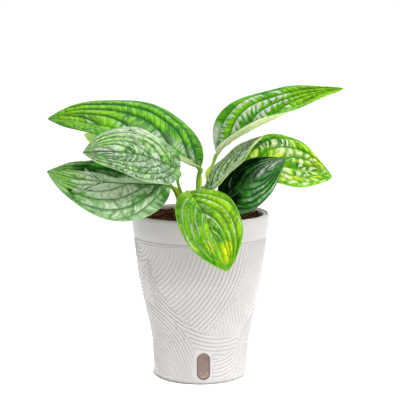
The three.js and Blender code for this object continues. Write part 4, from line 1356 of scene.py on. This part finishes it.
# The near right leaf: an old blade and its stalk, in the others' shade, which is painted onto the
# blade as near-black patches over much of it. The blade has a painted grey sheen near its tip.
make_leaf(
    "right_near", 150, 76, 8,
    shape=dict(
        midrib=((18, -28, 166), (31, -33, 176), (59, -36, 198), (78, -35, 210)),
        face=((15, 36), (12, 38)), width=(24, 23), fold=((6, 6), (3, 8)), curl=(14, 14),
        widest=0.38, blunt=0.89),
    stalk=dict(stem=STEM_RIGHT, height=156, turn=262, radius=1.6),
    under=((120, 160, 90), (150, 180, 120)),
    upper=dict(
        deep=(26, 116, 12), mid=(62, 164, 34), light=(112, 196, 74), vein=(30, 90, 34),
        silver=(196, 212, 192), cover=0.34, silver_reach=0.8, teeth=0.25, sheen=0.3,
        edge_line=(70, 114, 64), vein_width=0.8, midrib_line=(84, 124, 78), midrib_width=0.6,
        shine=0.2,
        silver_zones=(((0.5, 0.6), (0.3, 0.35), 0.12), ((0.78, -0.15), (0.2, 0.2), 0.1)),
        zones=(
            # The first patch is a painted grey sheen near the tip.
            ((212, 224, 210), (0.84, -0.16), (0.34, 0.44), 1.0),
            ((130, 156, 126), (0.65, 0.5), (0.3, 0.12), 0.6),
            ((50, 170, 26), (0.5, 0.22), (0.3, 0.16), 0.8),
            ((140, 166, 136), (0.7, 0.92), (0.25, 0.14), 0.7),
        ),
        # Painted shade: near-black patches where the leaves above shade the blade.
        painted_shade_and_patches=(
            ((1, 32, 2), (0.3, -0.62), (0.54, 0.76), 1.0),
            ((1, 34, 4), (0.58, -0.8), (0.24, 0.34), 1.0),
            ((0, 24, 0), (0.14, 0.2), (0.24, 0.5), 1.0),
            ((0, 30, 0), (0.7, -0.92), (0.4, 0.16), 0.9),
        )))

# The young leaf: a narrow blade, still partly rolled along its midrib, and its stalk. It is
# grey-green, speckled with silver.
make_leaf(
    "young", 150, 60, 9,
    shape=dict(
        midrib=((3, -39, 184), (15, -48, 181), (30, -52, 209), (56, -50, 232)),
        face=((-60, 37), (-60, 29)), width=(16, 17), fold=((30, 27), (23, 23)), curl=(6, 5),
        widest=0.39, blunt=0.85),
    stalk=dict(stem=STEM_MIDDLE, height=166, turn=290, radius=1.4),
    under=((150, 172, 110), (180, 196, 130)),
    upper=dict(
        deep=(84, 146, 46), mid=(152, 200, 104), light=(204, 232, 158), vein=(50, 96, 42),
        silver=(232, 242, 220), cover=0.48, silver_reach=0.9, teeth=0.8, sheen=0.3,
        flecks=1.0, fleck_size=(3.4, 3.6), grain=(2.4, 2.0), edge_line=(196, 226, 120),
        vein_width=0.6,
        zones=(
            ((126, 180, 50), (0.9, 0.0), (0.3, 1.2), 0.8),
            ((90, 150, 50), (0.3, -0.8), (0.5, 0.3), 0.6),
        )))

# The stage: a pale floor that glows round the pot, soft lamps from the front right and the
# left, and the camera where the photograph was taken from.
CAMERA_PLACE = (-0.4, -1000, 299)
CAMERA_PITCH = 7.5
PHOTO_WIDTH = 400
PHOTO_FOCUS = 1060
SENSOR_WIDTH = 36
LAMP_AIM = (0, 0, 0.12)
SKY_FRONT = 0.25
SKY_RIGHT = 0.2
SKY_HIGH = 0.85
SKY_BACK = 1.05
FLOOR_REACH = 4000
FLOOR_GLOW = 0.35
FLOOR_GLOW_NEAR = 1.5

camera_data = bpy.data.cameras.new("camera")
camera_data.lens = PHOTO_FOCUS / PHOTO_WIDTH * SENSOR_WIDTH
camera_data.sensor_width = SENSOR_WIDTH
camera = bpy.data.objects.new("camera", camera_data)
camera.location = [value * MM for value in CAMERA_PLACE]
camera.rotation_euler = (math.radians(90 - CAMERA_PITCH), 0, 0)
bpy.context.scene.collection.objects.link(camera)
bpy.context.scene.camera = camera


def lamp(name, place, size, power):
    """A square soft lamp that points at the plant."""
    data = bpy.data.lights.new(name, "AREA")
    data.energy = power
    data.size = size
    source = bpy.data.objects.new(name, data)
    source.location = place
    aim = Vector(LAMP_AIM) - Vector(place)
    source.rotation_euler = aim.to_track_quat("-Z", "Y").to_euler()
    bpy.context.scene.collection.objects.link(source)


lamp("key", (1.3, -0.45, 1.1), 0.45, 16)
lamp("fill", (-1.2, -1.0, 0.5), 1.2, 2)
lamp("top", (0.1, 0.3, 1.7), 1.2, 7)

world = bpy.data.worlds.new("studio")
world.use_nodes = True
sky = world.node_tree
sky_x, sky_y, sky_z = split(add_node(sky, "TexCoord", "Generated"))
sky_tone = mixed(fade(sky_z, 0.3, 0.8), sky_x * SKY_RIGHT + SKY_FRONT, SKY_HIGH)
sky_tone = mixed(fade(sky_y, 0.2, 0.75), sky_tone, SKY_BACK)
feed(sky.nodes["Background"].inputs["Color"], sky_tone)
bpy.context.scene.world = world
bpy.context.scene.view_settings.view_transform = "Standard"

floor_material, floor_tree, floor_inputs = new_material("floor", 0.9)
floor_tint = add_node(
    floor_tree, "MapRange", Value=noise_value(floor_tree, 3.0),
    From_Min=0.3, From_Max=0.7, To_Min=0.93, To_Max=0.96)
feed(floor_inputs["Base Color"], floor_tint)
feed(floor_inputs["Emission Color"], floor_tint)
floor_place = add_node(floor_tree, "TexCoord", "Object")
floor_reach = add_node(
    floor_tree, "VectorMath", "Value", operation="LENGTH", Vector=floor_place)
# Painted light and shadow on the floor: it glows more strongly within about a quarter metre of the pot,
# which lights the pot's lower wall and foot from below, and does not glow under the pot and only weakly
# just outside its foot, which paints a thin contact shadow there.
floor_glow = fade(floor_reach, 0.06, 0.26, FLOOR_GLOW + FLOOR_GLOW_NEAR, FLOOR_GLOW)
feed(floor_inputs["Emission Strength"], floor_glow * fade(floor_reach, 0.0445, 0.05))
corners = [(-1, -1), (1, -1), (1, 1), (-1, 1)]
floor = new_piece(
    "floor", [(x * FLOOR_REACH, y * FLOOR_REACH, 0) for x, y in corners], [(0, 1, 2, 3)],
    floor_material)
